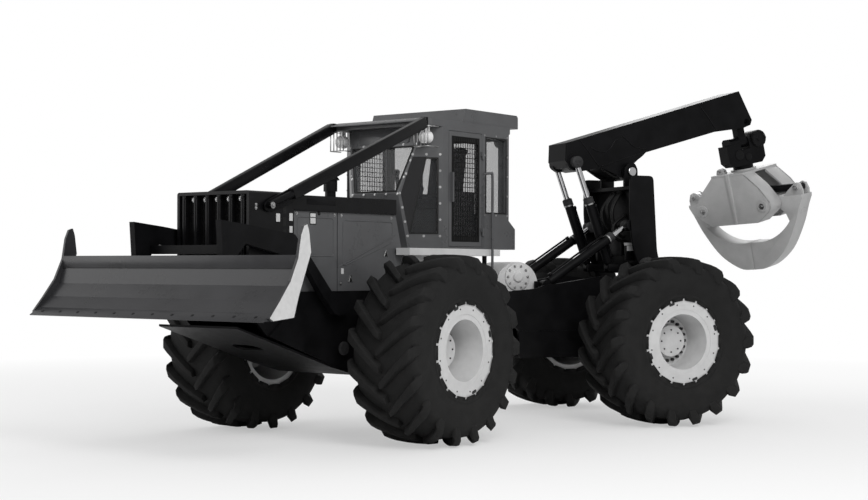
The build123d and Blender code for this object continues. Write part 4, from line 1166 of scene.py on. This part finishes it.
class SKIDDER_OT_blade(bpy.types.Operator):
    """Adds the pale faces of the blade's ends, its cutting edge, rail and bolts, and the frame's bosses."""

    bl_idname = "skidder.blade"
    bl_label = "Blade"

    def execute(self, context):
        ends, edge, bolts, bosses = several(4)
        for side in (-1, 1):
            ends.side_plate(grown(END_PLATE, -0.004), 1.503, 0.002, side)
        for outline in (CUTTING_EDGE, rounded(BLADE_RAIL, 0.002, 3)):
            edge.side_plate(outline, -BLADE_HALF, 2 * BLADE_HALF)
        out = Vector((0, -0.53, 0.85)).normalized()
        for x in np.linspace(-1.35, 1.35, 12):
            bolts.lathe([(0, 0.016), (0.003, 0.015)], Vector((x, -4.510, 1.263)) + out * 0.004, out, 16)
        for side in (-1, 1):
            for y, z, radius, length in FRAME_BOSSES:
                profile = [(0, radius), (length, radius), (length + 0.004, radius * 0.85)]
                bosses.side_lathe(profile, side, (0.498, y, z), 32)
                bosses.bolt_circle(side, (0.500 + length, y, z), 0.6 * radius, turns(6), 0.007, 0.006)
        ends.piece("blade_end_faces", "blade_body", "plate_pale", slot="light_grey")
        edge.piece("cutting_edge", "blade_body", "blade_black_lit", slot="frame_black", bevel=0.002)
        bolts.piece("edge_bolts", "blade_body", "frame_black")
        bosses.piece("frame_bosses", "front", "cast_dark", bevel=0.002)
        return {"FINISHED"}


# ------------------------------------------------------------------ boom, arch and grapple plates
BOOM_OUTLINE = [
    # y, z
    (1.275, 3.071), (1.268, 2.875), (1.330, 2.800), (1.491, 2.762), (1.732, 2.809),
    (2.010, 2.700), (2.077, 2.675), (2.150, 2.700), (2.137, 2.825), (2.155, 2.865),
    (2.205, 2.908), (2.270, 2.955), (2.317, 2.999), (3.250, 3.269), (3.649, 3.330),
    (3.750, 3.370), (3.770, 3.430), (3.585, 3.760), (3.022, 3.592), (1.480, 3.130),
]
# the boom's middle is cut back at its end, for the link
BOOM_MIDDLE = [*BOOM_OUTLINE[:14], (3.560, 3.316), (3.560, 3.560), (3.697, 3.560), *BOOM_OUTLINE[17:]]
ARCH_OUTLINE = [
    # y, z
    (1.979, 1.825), (1.938, 2.000), (1.913, 2.300), (1.913, 2.710), (2.212, 2.710),
    (2.262, 1.867), (2.385, 1.440), (2.340, 1.290), (2.160, 1.290), (2.110, 1.500),
]
ARCH_EAR = [(1.990, 2.560), (2.160, 2.560), (2.160, 2.800), (2.120, 2.870), (2.040, 2.870), (1.990, 2.800)]
SHEET_START = 0.215
HEAD_RIB = [(-0.015, 0.409), (0.020, -0.182), (0.050, -0.182), (0.030, 0.409)]
TONG_SWEEP = [(0.003, -0.790), (0.200, -0.766), (0.450, -0.592), (0.641, -0.315), (0.755, -0.073)]
TONG_BACK = ((0.590, -0.236), (0.361, -0.409), (0.003, -0.455))
TONG_SHOULDER = [
    # x, z
    (0.805, 0.020), (0.808, 0.058), (0.558, 0.058), (0.556, 0.084), (0.385, 0.060), (0.385, -0.060),
    (0.480, -0.070), (0.560, -0.150),
]
TONG_LOBE = [
    # x, z
    (0.560, 0.020), (0.804, 0.020), (0.812, 0.110), (0.785, 0.185), (0.735, 0.205), (0.695, 0.187),
    (0.560, 0.085),
]


def head_outline():
    """A side of the grapple's head: flat top and foot, and round ends about the tongs' pins."""
    points = [(side * TONG_PIN + 0.105 * cos(t), 0.105 * sin(t)) for side in (-1, 1) for t in turns(48)]
    corners = ((0.225, HEAD_TOP), (0.390, 0.225), (0.330, HEAD_FOOT))
    return hull(points + [(side * x, z) for side in (-1, 1) for x, z in corners])


class SKIDDER_OT_plates(bpy.types.Operator):
    """Replaces the boom, the arch, the grapple's head and its tongs by ones with their full outlines."""

    bl_idname = "skidder.plates"
    bl_label = "Boom, arch and grapple"

    def execute(self, context):
        self.boom()
        self.arch()
        self.head()
        for name, side in (("left", 1), ("right", -1)):
            self.tong(name, side)
        return {"FINISHED"}

    def boom(self):
        boom = Parts()
        for low, high, outline in (
            (-BOOM_SIDE, -0.0855, BOOM_OUTLINE),
            (-0.0855, 0.0855, BOOM_MIDDLE),
            (0.0855, BOOM_SIDE, BOOM_OUTLINE),
        ):
            boom.side_plate(outline, low, high - low)
        for side in (-1, 1):
            boom.side_rod(side, 0.150, 0.2045, BOOM_EYE, 0.092, 40)
            boom.side_rod(side, 0.150, 0.2395, BOOM_PIVOT, 0.090, 40)
            boom.side_rod(side, 0.200, 0.300, BOOM_PIVOT, 0.0475, 32)
        boom.side_rod(1, -BOOM_SIDE, BOOM_SIDE, LINK_PIN, 0.040, 32)
        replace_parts(boom.piece("boom_plates", "boom_body", "frame_black"), "boom")

    def arch(self):
        arch = Parts()
        for side in (-1, 1):
            arch.side_plate(rounded(ARCH_OUTLINE, 0.055), 0.5005, 0.030, side)
            arch.side_rod(side, 0.5005, 0.5308, ARCH_PIVOT, 0.115, 40)
            arch.side_rod(side, 0.4305, 0.5455, ARCH_PIVOT, 0.060, 36)
            arch.side_rod(side, 0.4305, 0.5010, ARCH_EYE, 0.060, 32)
            arch.side_plate(rounded(ARCH_EAR, 0.03), 0.240, 0.040, side)
            for low in (0.1795, 0.2755):
                arch.side_plate(rectangle(1.780, 2.100, 1.635, 1.720), low, 0.025, side)
        arch.box((-0.5015, 2.080, 1.620), (0.5015, 2.120, 2.600))
        arch.box((-0.5015, 1.990, 2.560), (0.5015, 2.121, 2.601))
        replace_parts(arch.piece("arch_plates", "arch_body", "frame_black", bevel=0.003), "arch")

    def head(self):
        head = Parts()
        outline = head_outline()
        for low in (-0.360, 0.335):
            head.across_plate(outline, low, low + 0.025)
        head.box((-0.225, -0.3595, HEAD_TOP), (0.225, 0.3595, HEAD_TOP + 0.025))
        head.lathe([(0, 0.150), (0.021, 0.150)], (0, 0, 0.409), (0, 0, 1), 48)
        # the sheet follows the side's outline round the outer end, and its inner face is drawn in a little
        outer = [(SHEET_START, HEAD_FOOT), *(p for p in outline if p[0] > SHEET_START + 0.0001)]
        inner = [(x * 0.955 - 0.002, z * 0.93 if z > 0 else z + 0.020) for x, z in outer[1:]]
        outer.append((SHEET_START, HEAD_TOP))
        sheet = [*outer, (SHEET_START, HEAD_TOP - 0.020), *inner[::-1], (SHEET_START, HEAD_FOOT + 0.020)]
        for low, high in ((-0.359, -0.115), (0.115, 0.359)):
            for side in (1, -1):
                head.across_plate(mirrored(sheet, side), low, high)
        for low in (-0.380, 0.355):
            head.across_plate(HEAD_RIB, low, low + 0.025)
        for side in (-1, 1):
            head.rod((side * TONG_PIN, -0.370, 0), (side * TONG_PIN, 0.370, 0), 0.040, 36)
        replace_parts(head.piece("head_plates", "head_body", "grapple_grey", bevel=0.003), "grapple_head")

    def tong(self, name, side):
        tong = Parts()
        blade = [*curve_through(TONG_SWEEP, 5).tolist(), *TONG_SHOULDER, *arc_through(*TONG_BACK)]
        tong.across_plate(mirrored(blade, side), -0.110, 0.110)
        for low, high in ((-0.075, -0.0505), (0.0505, 0.075)):
            tong.across_plate(mirrored(TONG_LOBE, side), low, high)
        tong.rod((side * TONG_PIN, -0.3345, 0), (side * TONG_PIN, 0.3345, 0), 0.075, 40)
        x, z = side * ROD_PIN[0], ROD_PIN[1]
        for way in (-1, 1):
            tong.rod((x, way * 0.0505, z), (x, way * 0.110, z), 0.025, 28)
        made = tong.piece(f"tong_plates_{name}", f"tong_{name}_body", "grapple_grey", bevel=0.004)
        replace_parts(made, f"tong_{name}")


# ------------------------------------------------------------------ boom, cylinders and arch
BOOM_BEADS = [
    # points of (y, z) that the weld bead follows
    [(1.285, 3.070), (1.284, 2.970), (1.282, 2.868)],
    [(1.448, 3.118), (1.585, 2.960), (1.700, 2.825)],
    [
        (1.600, 3.030), (1.680, 2.995), (1.770, 2.990), (1.850, 3.035), (1.916, 3.125), (1.989, 3.170),
        (2.070, 3.130), (2.160, 3.060), (2.327, 3.035),
    ],
    [(1.731, 2.822), (2.020, 2.918), (2.327, 3.017)],
    [(3.022, 3.585), (3.155, 3.440), (3.270, 3.290)],
]
BOOM_PIPE = [(1.760, 2.800), (1.900, 2.720), (1.990, 2.690)]


class SKIDDER_OT_boom(bpy.types.Operator):
    """Adds the weld beads, the bright pin ends and the small pipes of the boom."""

    bl_idname = "skidder.boom"
    bl_label = "Boom"

    def execute(self, context):
        beads, pins, pipes = several(3)
        for side in (-1, 1):
            x = side * (BOOM_SIDE + 0.001)
            for points in BOOM_BEADS:
                beads.tube(curve_through([(x, y, z) for y, z in points], 10), 0.006, 8)
            pins.side_lathe([(0, 0.0475), (0.004, 0.0475), (0.006, 0.044)], side, (0.300, *BOOM_PIVOT), 36)
            pipes.tube(curve_through([(side * 0.160, y, z) for y, z in BOOM_PIPE], 8), 0.014, 10)
        beads.piece("boom_welds", "boom_body", "cover_black", slot="frame_black", smooth=True)
        pins.piece("boom_pin_ends", "boom_body", "rod_chrome")
        pipes.piece("boom_pipes", "boom_body", "hose_rubber", smooth=True)
        return {"FINISHED"}


ROD_EYES = [
    # body, eye (y, z), inner and outer face, radius
    ("boom_rod_body", BOOM_EYE, 0.2062, 0.2790, 0.066),
    ("arch_rod_body", ARCH_EYE, 0.3560, 0.4290, 0.062),
]
CYLINDERS = [
    # name, distance from the middle, base (y, z), eye (y, z), barrel length
    ("boom", 0.240, (1.820, 1.680), BOOM_EYE, 0.830),
    ("arch", 0.395, (0.910, 1.489), ARCH_EYE, 1.010),
    ("blade", 0.370, (-1.450, 1.250), (-2.530, 1.024), 0.720),
]
BARREL_RADIUS = 0.050
PIPE_INSET = 0.12


class SKIDDER_OT_cylinders(bpy.types.Operator):
    """Adds glands, gland rings, ports and side pipes to the cylinders, and caps to the rods' eyes."""

    bl_idname = "skidder.cylinders"
    bl_label = "Cylinders"

    def execute(self, context):
        for body, (y, z), low, high, radius in ROD_EYES:
            eyes = Parts()
            for side in (-1, 1):
                eyes.side_rod(side, low, high, (y, z), radius, 40)
                eyes.bolt_circle(side, (high, y, z), 0.024, turns(3, 0.5), 0.010, 0.006)
            eyes.piece(f"{body}_eyes", body, "cast_dark", bevel=0.004)
        radius = BARREL_RADIUS
        gland = [
            # height from the barrel's end, radius
            (-0.058, radius + 0.007), (-0.004, radius + 0.007),
            (0.000, radius - 0.004), (0.010, radius - 0.008), (0.012, radius - 0.016),
        ]
        foot, top = radius * 0.9, radius + 0.018
        for name, x, base, eye, length in CYLINDERS:
            glands, rings, pipes = several(3)
            route = [
                # distance along the barrel, height above its axis
                (PIPE_INSET, foot), (PIPE_INSET + 0.02, top),
                (length - PIPE_INSET - 0.02, top), (length - PIPE_INSET, foot),
            ]
            for side in (-1, 1):
                start = Vector((side * x, *base))
                way = (Vector((side * x, *eye)) - start).normalized()
                out = Vector((0, way.z, -way.y))
                out = out if out.z > 0 else -out
                end = start + way * length
                glands.lathe(gland, end, way, 32)
                rings.lathe([(-0.076, radius + 0.008), (-0.060, radius + 0.008)], end, way, 32)
                pipe = [start + way * along + out * height for along, height in route]
                pipes.tube(pipe, 0.011, 10)
                for port in (pipe[0], pipe[-1]):
                    pipes.lathe([(0, 0.022), (radius * 0.4 + 0.012, 0.022)], port, out, 12)
            body = f"{name}_barrel_body"
            glands.piece(f"{name}_glands", body, "cast_dark")
            rings.piece(f"{name}_gland_rings", body, "pin_steel")
            pipes.piece(f"{name}_cylinder_pipes", body, "frame_black", smooth=True)
        return {"FINISHED"}


ARCH_PIPES = [
    # points of (x, y, z) of a bent pipe fixed to the arch
    [
        (0.06, 2.072, 2.10), (0.06, 1.990, 2.18), (0.05, 1.960, 2.34),
        (0.05, 2.030, 2.50), (0.05, 2.072, 2.54),
    ],
    [
        (0.10, 2.072, 2.02), (0.11, 1.960, 2.12), (0.12, 1.920, 2.32),
        (0.10, 2.020, 2.50), (0.10, 2.072, 2.55),
    ],
    [
        (-0.02, 2.072, 2.14), (-0.02, 1.970, 2.24), (-0.03, 1.940, 2.38),
        (-0.02, 2.030, 2.52), (-0.02, 2.072, 2.56),
    ],
    [
        (-0.10, 2.072, 2.06), (-0.11, 1.950, 2.18), (-0.12, 1.930, 2.34),
        (-0.10, 2.030, 2.50), (-0.10, 2.072, 2.55),
    ],
    [
        (0.16, 2.072, 1.96), (0.15, 1.950, 2.02), (0.14, 1.930, 2.16),
        (0.15, 2.072, 2.28),
    ],
]


class SKIDDER_OT_arch(bpy.types.Operator):
    """Adds the pipes, the valve blocks and the blank plates on the arch, and its pins' bolts."""

    bl_idname = "skidder.arch"
    bl_label = "Arch"

    def execute(self, context):
        pipes, blocks, plate, bolts = several(4)
        for route in ARCH_PIPES:
            pipes.tube(curve_through(route, 10), 0.018, 10)
        blocks.box((-0.14, 2.030, 1.82), (0.14, 2.081, 2.00))
        blocks.box((-0.10, 2.045, 2.52), (0.12, 2.081, 2.57))
        for side in (-1, 1):
            blocks.side_plate(rectangle(1.975, 2.081, 1.760, 1.930), 0.300, 0.045, side)
            plate.side_plate(rectangle(1.972, 2.081, 1.930, 1.962), 0.298, 0.049, side)
            plate.side_plate(rectangle(1.980, 2.070, 1.870, 1.925), 0.346, 0.003, side)
            bolts.bolt_circle(side, (0.5305, *ARCH_PIVOT), 0.088, turns(8), 0.009, 0.008)
            bolts.side_lathe([(0, 0.040), (0.006, 0.040)], side, (0.5455, *ARCH_PIVOT), 28)
        pipes.piece("arch_pipes", "arch_body", "hose_rubber", smooth=True)
        blocks.piece("arch_blocks", "arch_body", "frame_black", bevel=0.004)
        plate.piece("arch_blank_plates", "arch_body", "plate_pale", slot="light_grey")
        bolts.piece("arch_bolts", "arch_body", "pin_steel")
        return {"FINISHED"}


class SKIDDER_OT_winch(bpy.types.Operator):
    """Adds the winch's flanges and bolts, and the seam of the rear frame."""

    bl_idname = "skidder.winch"
    bl_label = "Winch"

    def execute(self, context):
        flange, bolts, seam = several(3)
        profile = [(0, 0.150), (0.014, 0.150), (0.020, 0.140), (0.020, 0.060), (0.040, 0.050), (0.042, 0.030)]
        for side in (-1, 1):
            flange.side_lathe(profile, side, (0.299, *WINCH_AXLE), 40)
            bolts.bolt_circle(side, (0.317, *WINCH_AXLE), 0.120, turns(10), 0.010, 0.009)
            seam.side_plate(rectangle(0.56, 2.88, 0.985, 0.993), 0.4945, 0.003, side)
        flange.piece("winch_flanges", "rear", "light_grey", bevel=0.002)
        bolts.piece("winch_bolts", "rear", "pin_steel")
        seam.piece("rear_frame_seam", "rear", "cover_black", slot="frame_black")
        return {"FINISHED"}


# ------------------------------------------------------------------ grapple
HOLE_CENTRE = Vector((0.3225, -0.225, 0.245))
HOLE_WAY = Vector((0.3575, 0, -0.290)).normalized()
HOLE_OUT = Vector((0.290, 0, 0.3575)).normalized()
HOLE = [(-0.060, -0.030), (-0.020, -0.045), (0.050, -0.038), (0.066, 0.010), (0.030, 0.036), (-0.040, 0.034)]
EAR = [(-0.06, 0.405), (0.06, 0.405), (0.045, 0.462), (0.0, 0.480), (-0.045, 0.462)]
EAR_CENTRE = -0.165
YOKE_DRUM = (0.198, 0)
YOKE_CAP = [
    # height, radius
    (0, 0.100), (0.010, 0.098), (0.012, 0.080), (0.012, 0.074), (0.006, 0.072), (0.006, 0.030), (0.014, 0.026),
]


class SKIDDER_OT_grapple(bpy.types.Operator):
    """Adds pin bolts, welds, ears and the wrapper's holes in painted shade to the grapple, and caps to its
    yoke.
    """

    bl_idname = "skidder.grapple"
    bl_label = "Grapple"

    def execute(self, context):
        self.head()
        for name, side in (("left", 1), ("right", -1)):
            self.tong(name, side)
        self.yoke()
        return {"FINISHED"}

    def head(self):
        pins, holes, welds, ears = several(4)
        for side in (-1, 1):
            x = side * TONG_PIN
            for way in (-1, 1):
                pins.lathe([(0, 0.036), (0.005, 0.036), (0.007, 0.032)], (x, way * 0.370, 0), (0, way, 0), 28)
                pins.bolt((x, way * 0.376, 0), (0, way, 0), 0.016, 0.014)
                ears.lathe([(0, 0.072), (0.007, 0.072), (0.010, 0.068)], (x, way * 0.359, 0), (0, way, 0), 36)
            # the wrapper's holes are dark patches on its sheet, with a small one beside each: painted shade
            # where the sheet is open
            centre, along, out = (flipped(vector, side) for vector in (HOLE_CENTRE, HOLE_WAY, HOLE_OUT))
            outline = [(u, side * v) for u, v in rounded(HOLE, 0.018)]
            holes.prism(outline, -0.003, 0.0045, (along, (0, side, 0), out), centre)
            small = centre + along * 0.10 + Vector((0, -0.02, 0)) + out * 0.0005
            holes.lathe([(0, 0.009), (0.0015, 0.009)], small, out, 14)
        for way in (-1, 1):
            y = way * 0.361
            for low, high in ((-0.015, 0.020), (0.030, 0.050)):
                middle = (low + high) / 2 + 0.002
                welds.tube([(low, y, 0.400), (middle, y, 0.100), (high, y, -0.180)], 0.005, 8)
        ear = [(u + EAR_CENTRE, v) for u, v in rounded(EAR, 0.015)]
        for y in (-0.250, -0.205):
            ears.across_plate(ear, y, y + 0.020)
        pins.lathe([(0, 0.016), (0.085, 0.016)], (EAR_CENTRE, -0.280, 0.446), (0, 1, 0), 20)
        pins.piece("grapple_pin_bolts", "head_body", "pin_steel")
        holes.piece("wrapper_holes", "head_body", "hose_rubber")
        welds.piece("head_welds", "head_body", "grapple_grey", smooth=True)
        ears.piece("head_ears", "head_body", "grapple_grey", bevel=0.002)

    def tong(self, name, side):
        pads, eyes = several(2)
        out = Vector((side * 0.866, 0, -0.5)).normalized()
        along = Vector((side * 0.5, 0, 0.866)).normalized()
        pad = rounded(centred(0.062, 0.050), 0.006)
        pads.prism(pad, -0.006, 0.020, (along, (0, 1, 0), out), (side * 0.700, 0.0, -0.165))
        x, z = side * ROD_PIN[0], ROD_PIN[1]
        for way in (-1, 1):
            eyes.lathe([(0, 0.032), (0.006, 0.032), (0.008, 0.028)], (x, way * 0.110, z), (0, way, 0), 28)
            eyes.bolt((x, way * 0.117, z), (0, way, 0), 0.012, 0.010)
        pads.piece(f"tong_pad_{name}", f"tong_{name}_body", "grapple_grey", bevel=0.003)
        eyes.piece(f"tong_pin_bolts_{name}", f"tong_{name}_body", "pin_steel")

    def yoke(self):
        yoke = Parts()
        yoke.lathe([(-0.098, 0.104), (0.098, 0.104)], (0, *YOKE_DRUM), (1, 0, 0), 40)
        for side in (-1, 1):
            yoke.side_lathe(YOKE_CAP, side, (0.0995, *YOKE_DRUM), 40)
            yoke.bolt_circle(side, (0.111, *YOKE_DRUM), 0.087, turns(8), 0.008, 0.008)
            for radius, top, y, z in ((0.060, 0.040, -0.105, -0.150), (0.045, 0.030, 0.020, -0.190)):
                profile = [(0, radius), (0.008, radius - 0.002), (0.010, top)]
                yoke.side_lathe(profile, side, (0.0895, y, z), 32)
        yoke.piece("yoke_caps", "yoke_body", "cover_black", slot="frame_black", bevel=0.0015)


# ------------------------------------------------------------------ studio
class SKIDDER_PG_stage(bpy.types.PropertyGroup):
    """The camera and the lamps."""

    lens: FloatProperty(name="Lens", description="Focal length in millimetres", default=63.88)
    key: FloatProperty(name="Key light", description="Power of the large lamp", default=820.0, unit="POWER")
    fill: FloatProperty(name="Fill light", description="Power of the fill lamp", default=380.0, unit="POWER")
    world: FloatProperty(name="World", description="Strength of the sky", default=0.55)


CAMERA_POINT = Vector((10.064, -13.551, 1.673))
CAMERA_TURN = radians(37.818)
CAMERA_RISE = radians(0.101)
CAMERA_ROLL = radians(0.155)
CAMERA_SHIFT = (0.0145, 0.0236)
FLOOR_HALF = 60
# the floor shines white away from the machine, between these two distances
FADE = {"From Min": 5.0, "From Max": 14.0, "To Min": 0.45, "To Max": 1.0}
LAMP_TARGET = Vector((0, 0, 1.5))


def aim(camera):
    """Turns the camera by azimuth about Z, a small rise and a small roll about its own view."""
    level = cos(CAMERA_RISE)
    along = -Vector((sin(CAMERA_TURN) * level, -cos(CAMERA_TURN) * level, sin(CAMERA_RISE)))
    right = Vector((cos(CAMERA_TURN), sin(CAMERA_TURN), 0))
    up = right.cross(along)
    rolled_right = right * cos(CAMERA_ROLL) + up * sin(CAMERA_ROLL)
    rolled_up = up * cos(CAMERA_ROLL) - right * sin(CAMERA_ROLL)
    turn = Matrix((rolled_right, rolled_up, -along)).transposed().to_4x4()
    camera.matrix_world = Matrix.Translation(PIVOT + CAMERA_POINT) @ turn


def lamp(name, place, size, power):
    """A square area lamp that faces the machine."""
    data = bpy.data.lights.new(name, "AREA")
    data.shape = "SQUARE"
    data.size = size
    data.energy = power
    made = bpy.data.objects.new(name, data)
    bpy.context.scene.collection.objects.link(made)
    facing = (LAMP_TARGET - Vector(place)).to_track_quat("-Z", "Y").to_matrix().to_4x4()
    made.matrix_world = Matrix.Translation(place) @ facing


class SKIDDER_OT_stage(bpy.types.Operator):
    """Sets the floor, the white surroundings, the lamps and the camera."""

    bl_idname = "skidder.stage"
    bl_label = "Studio"

    def execute(self, context):
        scene = context.scene
        stage = scene.skidder_stage
        scene.view_settings.view_transform = "Standard"
        self.floor()
        self.surroundings(scene, stage.world)
        lamp("key", (9, -7, 9), 6, stage.key)
        lamp("fill", (-9, -9, 6), 8, stage.fill)
        lamp("rim", (-2, 11, 8), 7, stage.fill)

        data = bpy.data.cameras.new("camera")
        data.lens = stage.lens
        data.sensor_width = 36.0
        data.shift_x, data.shift_y = CAMERA_SHIFT
        data.clip_end = 200.0
        camera = bpy.data.objects.new("camera", data)
        scene.collection.objects.link(camera)
        aim(camera)
        scene.camera = camera
        return {"FINISHED"}

    def floor(self):
        """A matt floor that takes shadows near the machine and shines white further off."""
        concrete = bpy.data.materials.new("studio floor")
        nodes = Nodes(concrete)
        shader = concrete.node_tree.nodes["Principled BSDF"]
        nodes.feed(shader, {"Roughness": 0.9, "Specular IOR Level": 0.1, "Base Color": (0.84, 0.84, 0.84, 1)})
        where = nodes.add("TexCoord", {}, "Object")
        distance = nodes.add("VectorMath", {0: where}, "Value", operation="LENGTH")
        fade = nodes.add("MapRange", {**FADE, "Value": distance})
        share = nodes.multiply(fade, nodes.add("LightPath", {}, "Is Camera Ray"))
        bright = nodes.add("Emission", {"Strength": 1.0})
        surface = nodes.add("MixShader", {"Fac": share, 1: shader.outputs["BSDF"], 2: bright})
        nodes.feed(concrete.node_tree.nodes["Material Output"], {"Surface": surface})
        corners = [(x, y, 0) for x, y in centred(FLOOR_HALF, FLOOR_HALF)]
        return new_piece("studio_floor", corners, [(0, 1, 2, 3)], Matrix.Identity(4), concrete)

    def surroundings(self, scene, strength):
        """A sky that lights the machine, and plain white where it is seen, also through glass."""
        scene.world = bpy.data.worlds.new("studio")
        nodes = Nodes(scene.world)
        sky = scene.world.node_tree.nodes["Background"]
        nodes.feed(sky, {"Color": (1, 1, 1, 1), "Strength": strength})
        white = nodes.add("Background", {"Color": (1, 1, 1, 1), "Strength": 1.0})
        seen = nodes.add("LightPath", {}, "Is Camera Ray")
        through = seen.node.outputs["Is Transmission Ray"]
        either = nodes.add("Math", {0: seen, 1: through}, operation="MAXIMUM")
        surface = nodes.add("MixShader", {"Fac": either, 1: sky.outputs["Background"], 2: white})
        nodes.feed(scene.world.node_tree.nodes["World Output"], {"Surface": surface})


# ------------------------------------------------------------------ add-on
STEPS = [
    SKIDDER_OT_paint,
    SKIDDER_OT_tyres,
    SKIDDER_OT_rims,
    SKIDDER_OT_hood,
    SKIDDER_OT_grille,
    SKIDDER_OT_rails,
    SKIDDER_OT_cab,
    SKIDDER_OT_door_guards,
    SKIDDER_OT_controls,
    SKIDDER_OT_seat,
    SKIDDER_OT_blade,
    SKIDDER_OT_plates,
    SKIDDER_OT_boom,
    SKIDDER_OT_cylinders,
    SKIDDER_OT_arch,
    SKIDDER_OT_winch,
    SKIDDER_OT_grapple,
    SKIDDER_OT_stage,
]
SETTINGS = [
    ("skidder_look", SKIDDER_PG_look),
    ("skidder_tyre", SKIDDER_PG_tyre),
    ("skidder_stage", SKIDDER_PG_stage),
]


class SKIDDER_PT_panel(bpy.types.Panel):
    """Lists the skidder's settings and its groups of pieces."""

    bl_idname = "SKIDDER_PT_panel"
    bl_label = "Grapple Skidder"
    bl_space_type = "VIEW_3D"
    bl_region_type = "UI"
    bl_category = "Skidder"

    def draw(self, context):
        layout = self.layout
        for name, group in SETTINGS:
            box = layout.box()
            settings = getattr(context.scene, name)
            for key in group.__annotations__:
                box.prop(settings, key)
        for step in STEPS:
            layout.operator(step.bl_idname)


CLASSES = [*(group for _, group in SETTINGS), *STEPS, SKIDDER_PT_panel]


def register():
    for made in CLASSES:
        bpy.utils.register_class(made)
    for name, group in SETTINGS:
        setattr(bpy.types.Scene, name, PointerProperty(type=group))


def unregister():
    for name, _ in SETTINGS:
        delattr(bpy.types.Scene, name)
    for made in reversed(CLASSES):
        bpy.utils.unregister_class(made)


def main():
    """Registers the add-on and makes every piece."""
    register()
    for step in STEPS:
        category, call = step.bl_idname.split(".")
        getattr(getattr(bpy.ops, category), call)()


if __name__ == "__main__":
    main()
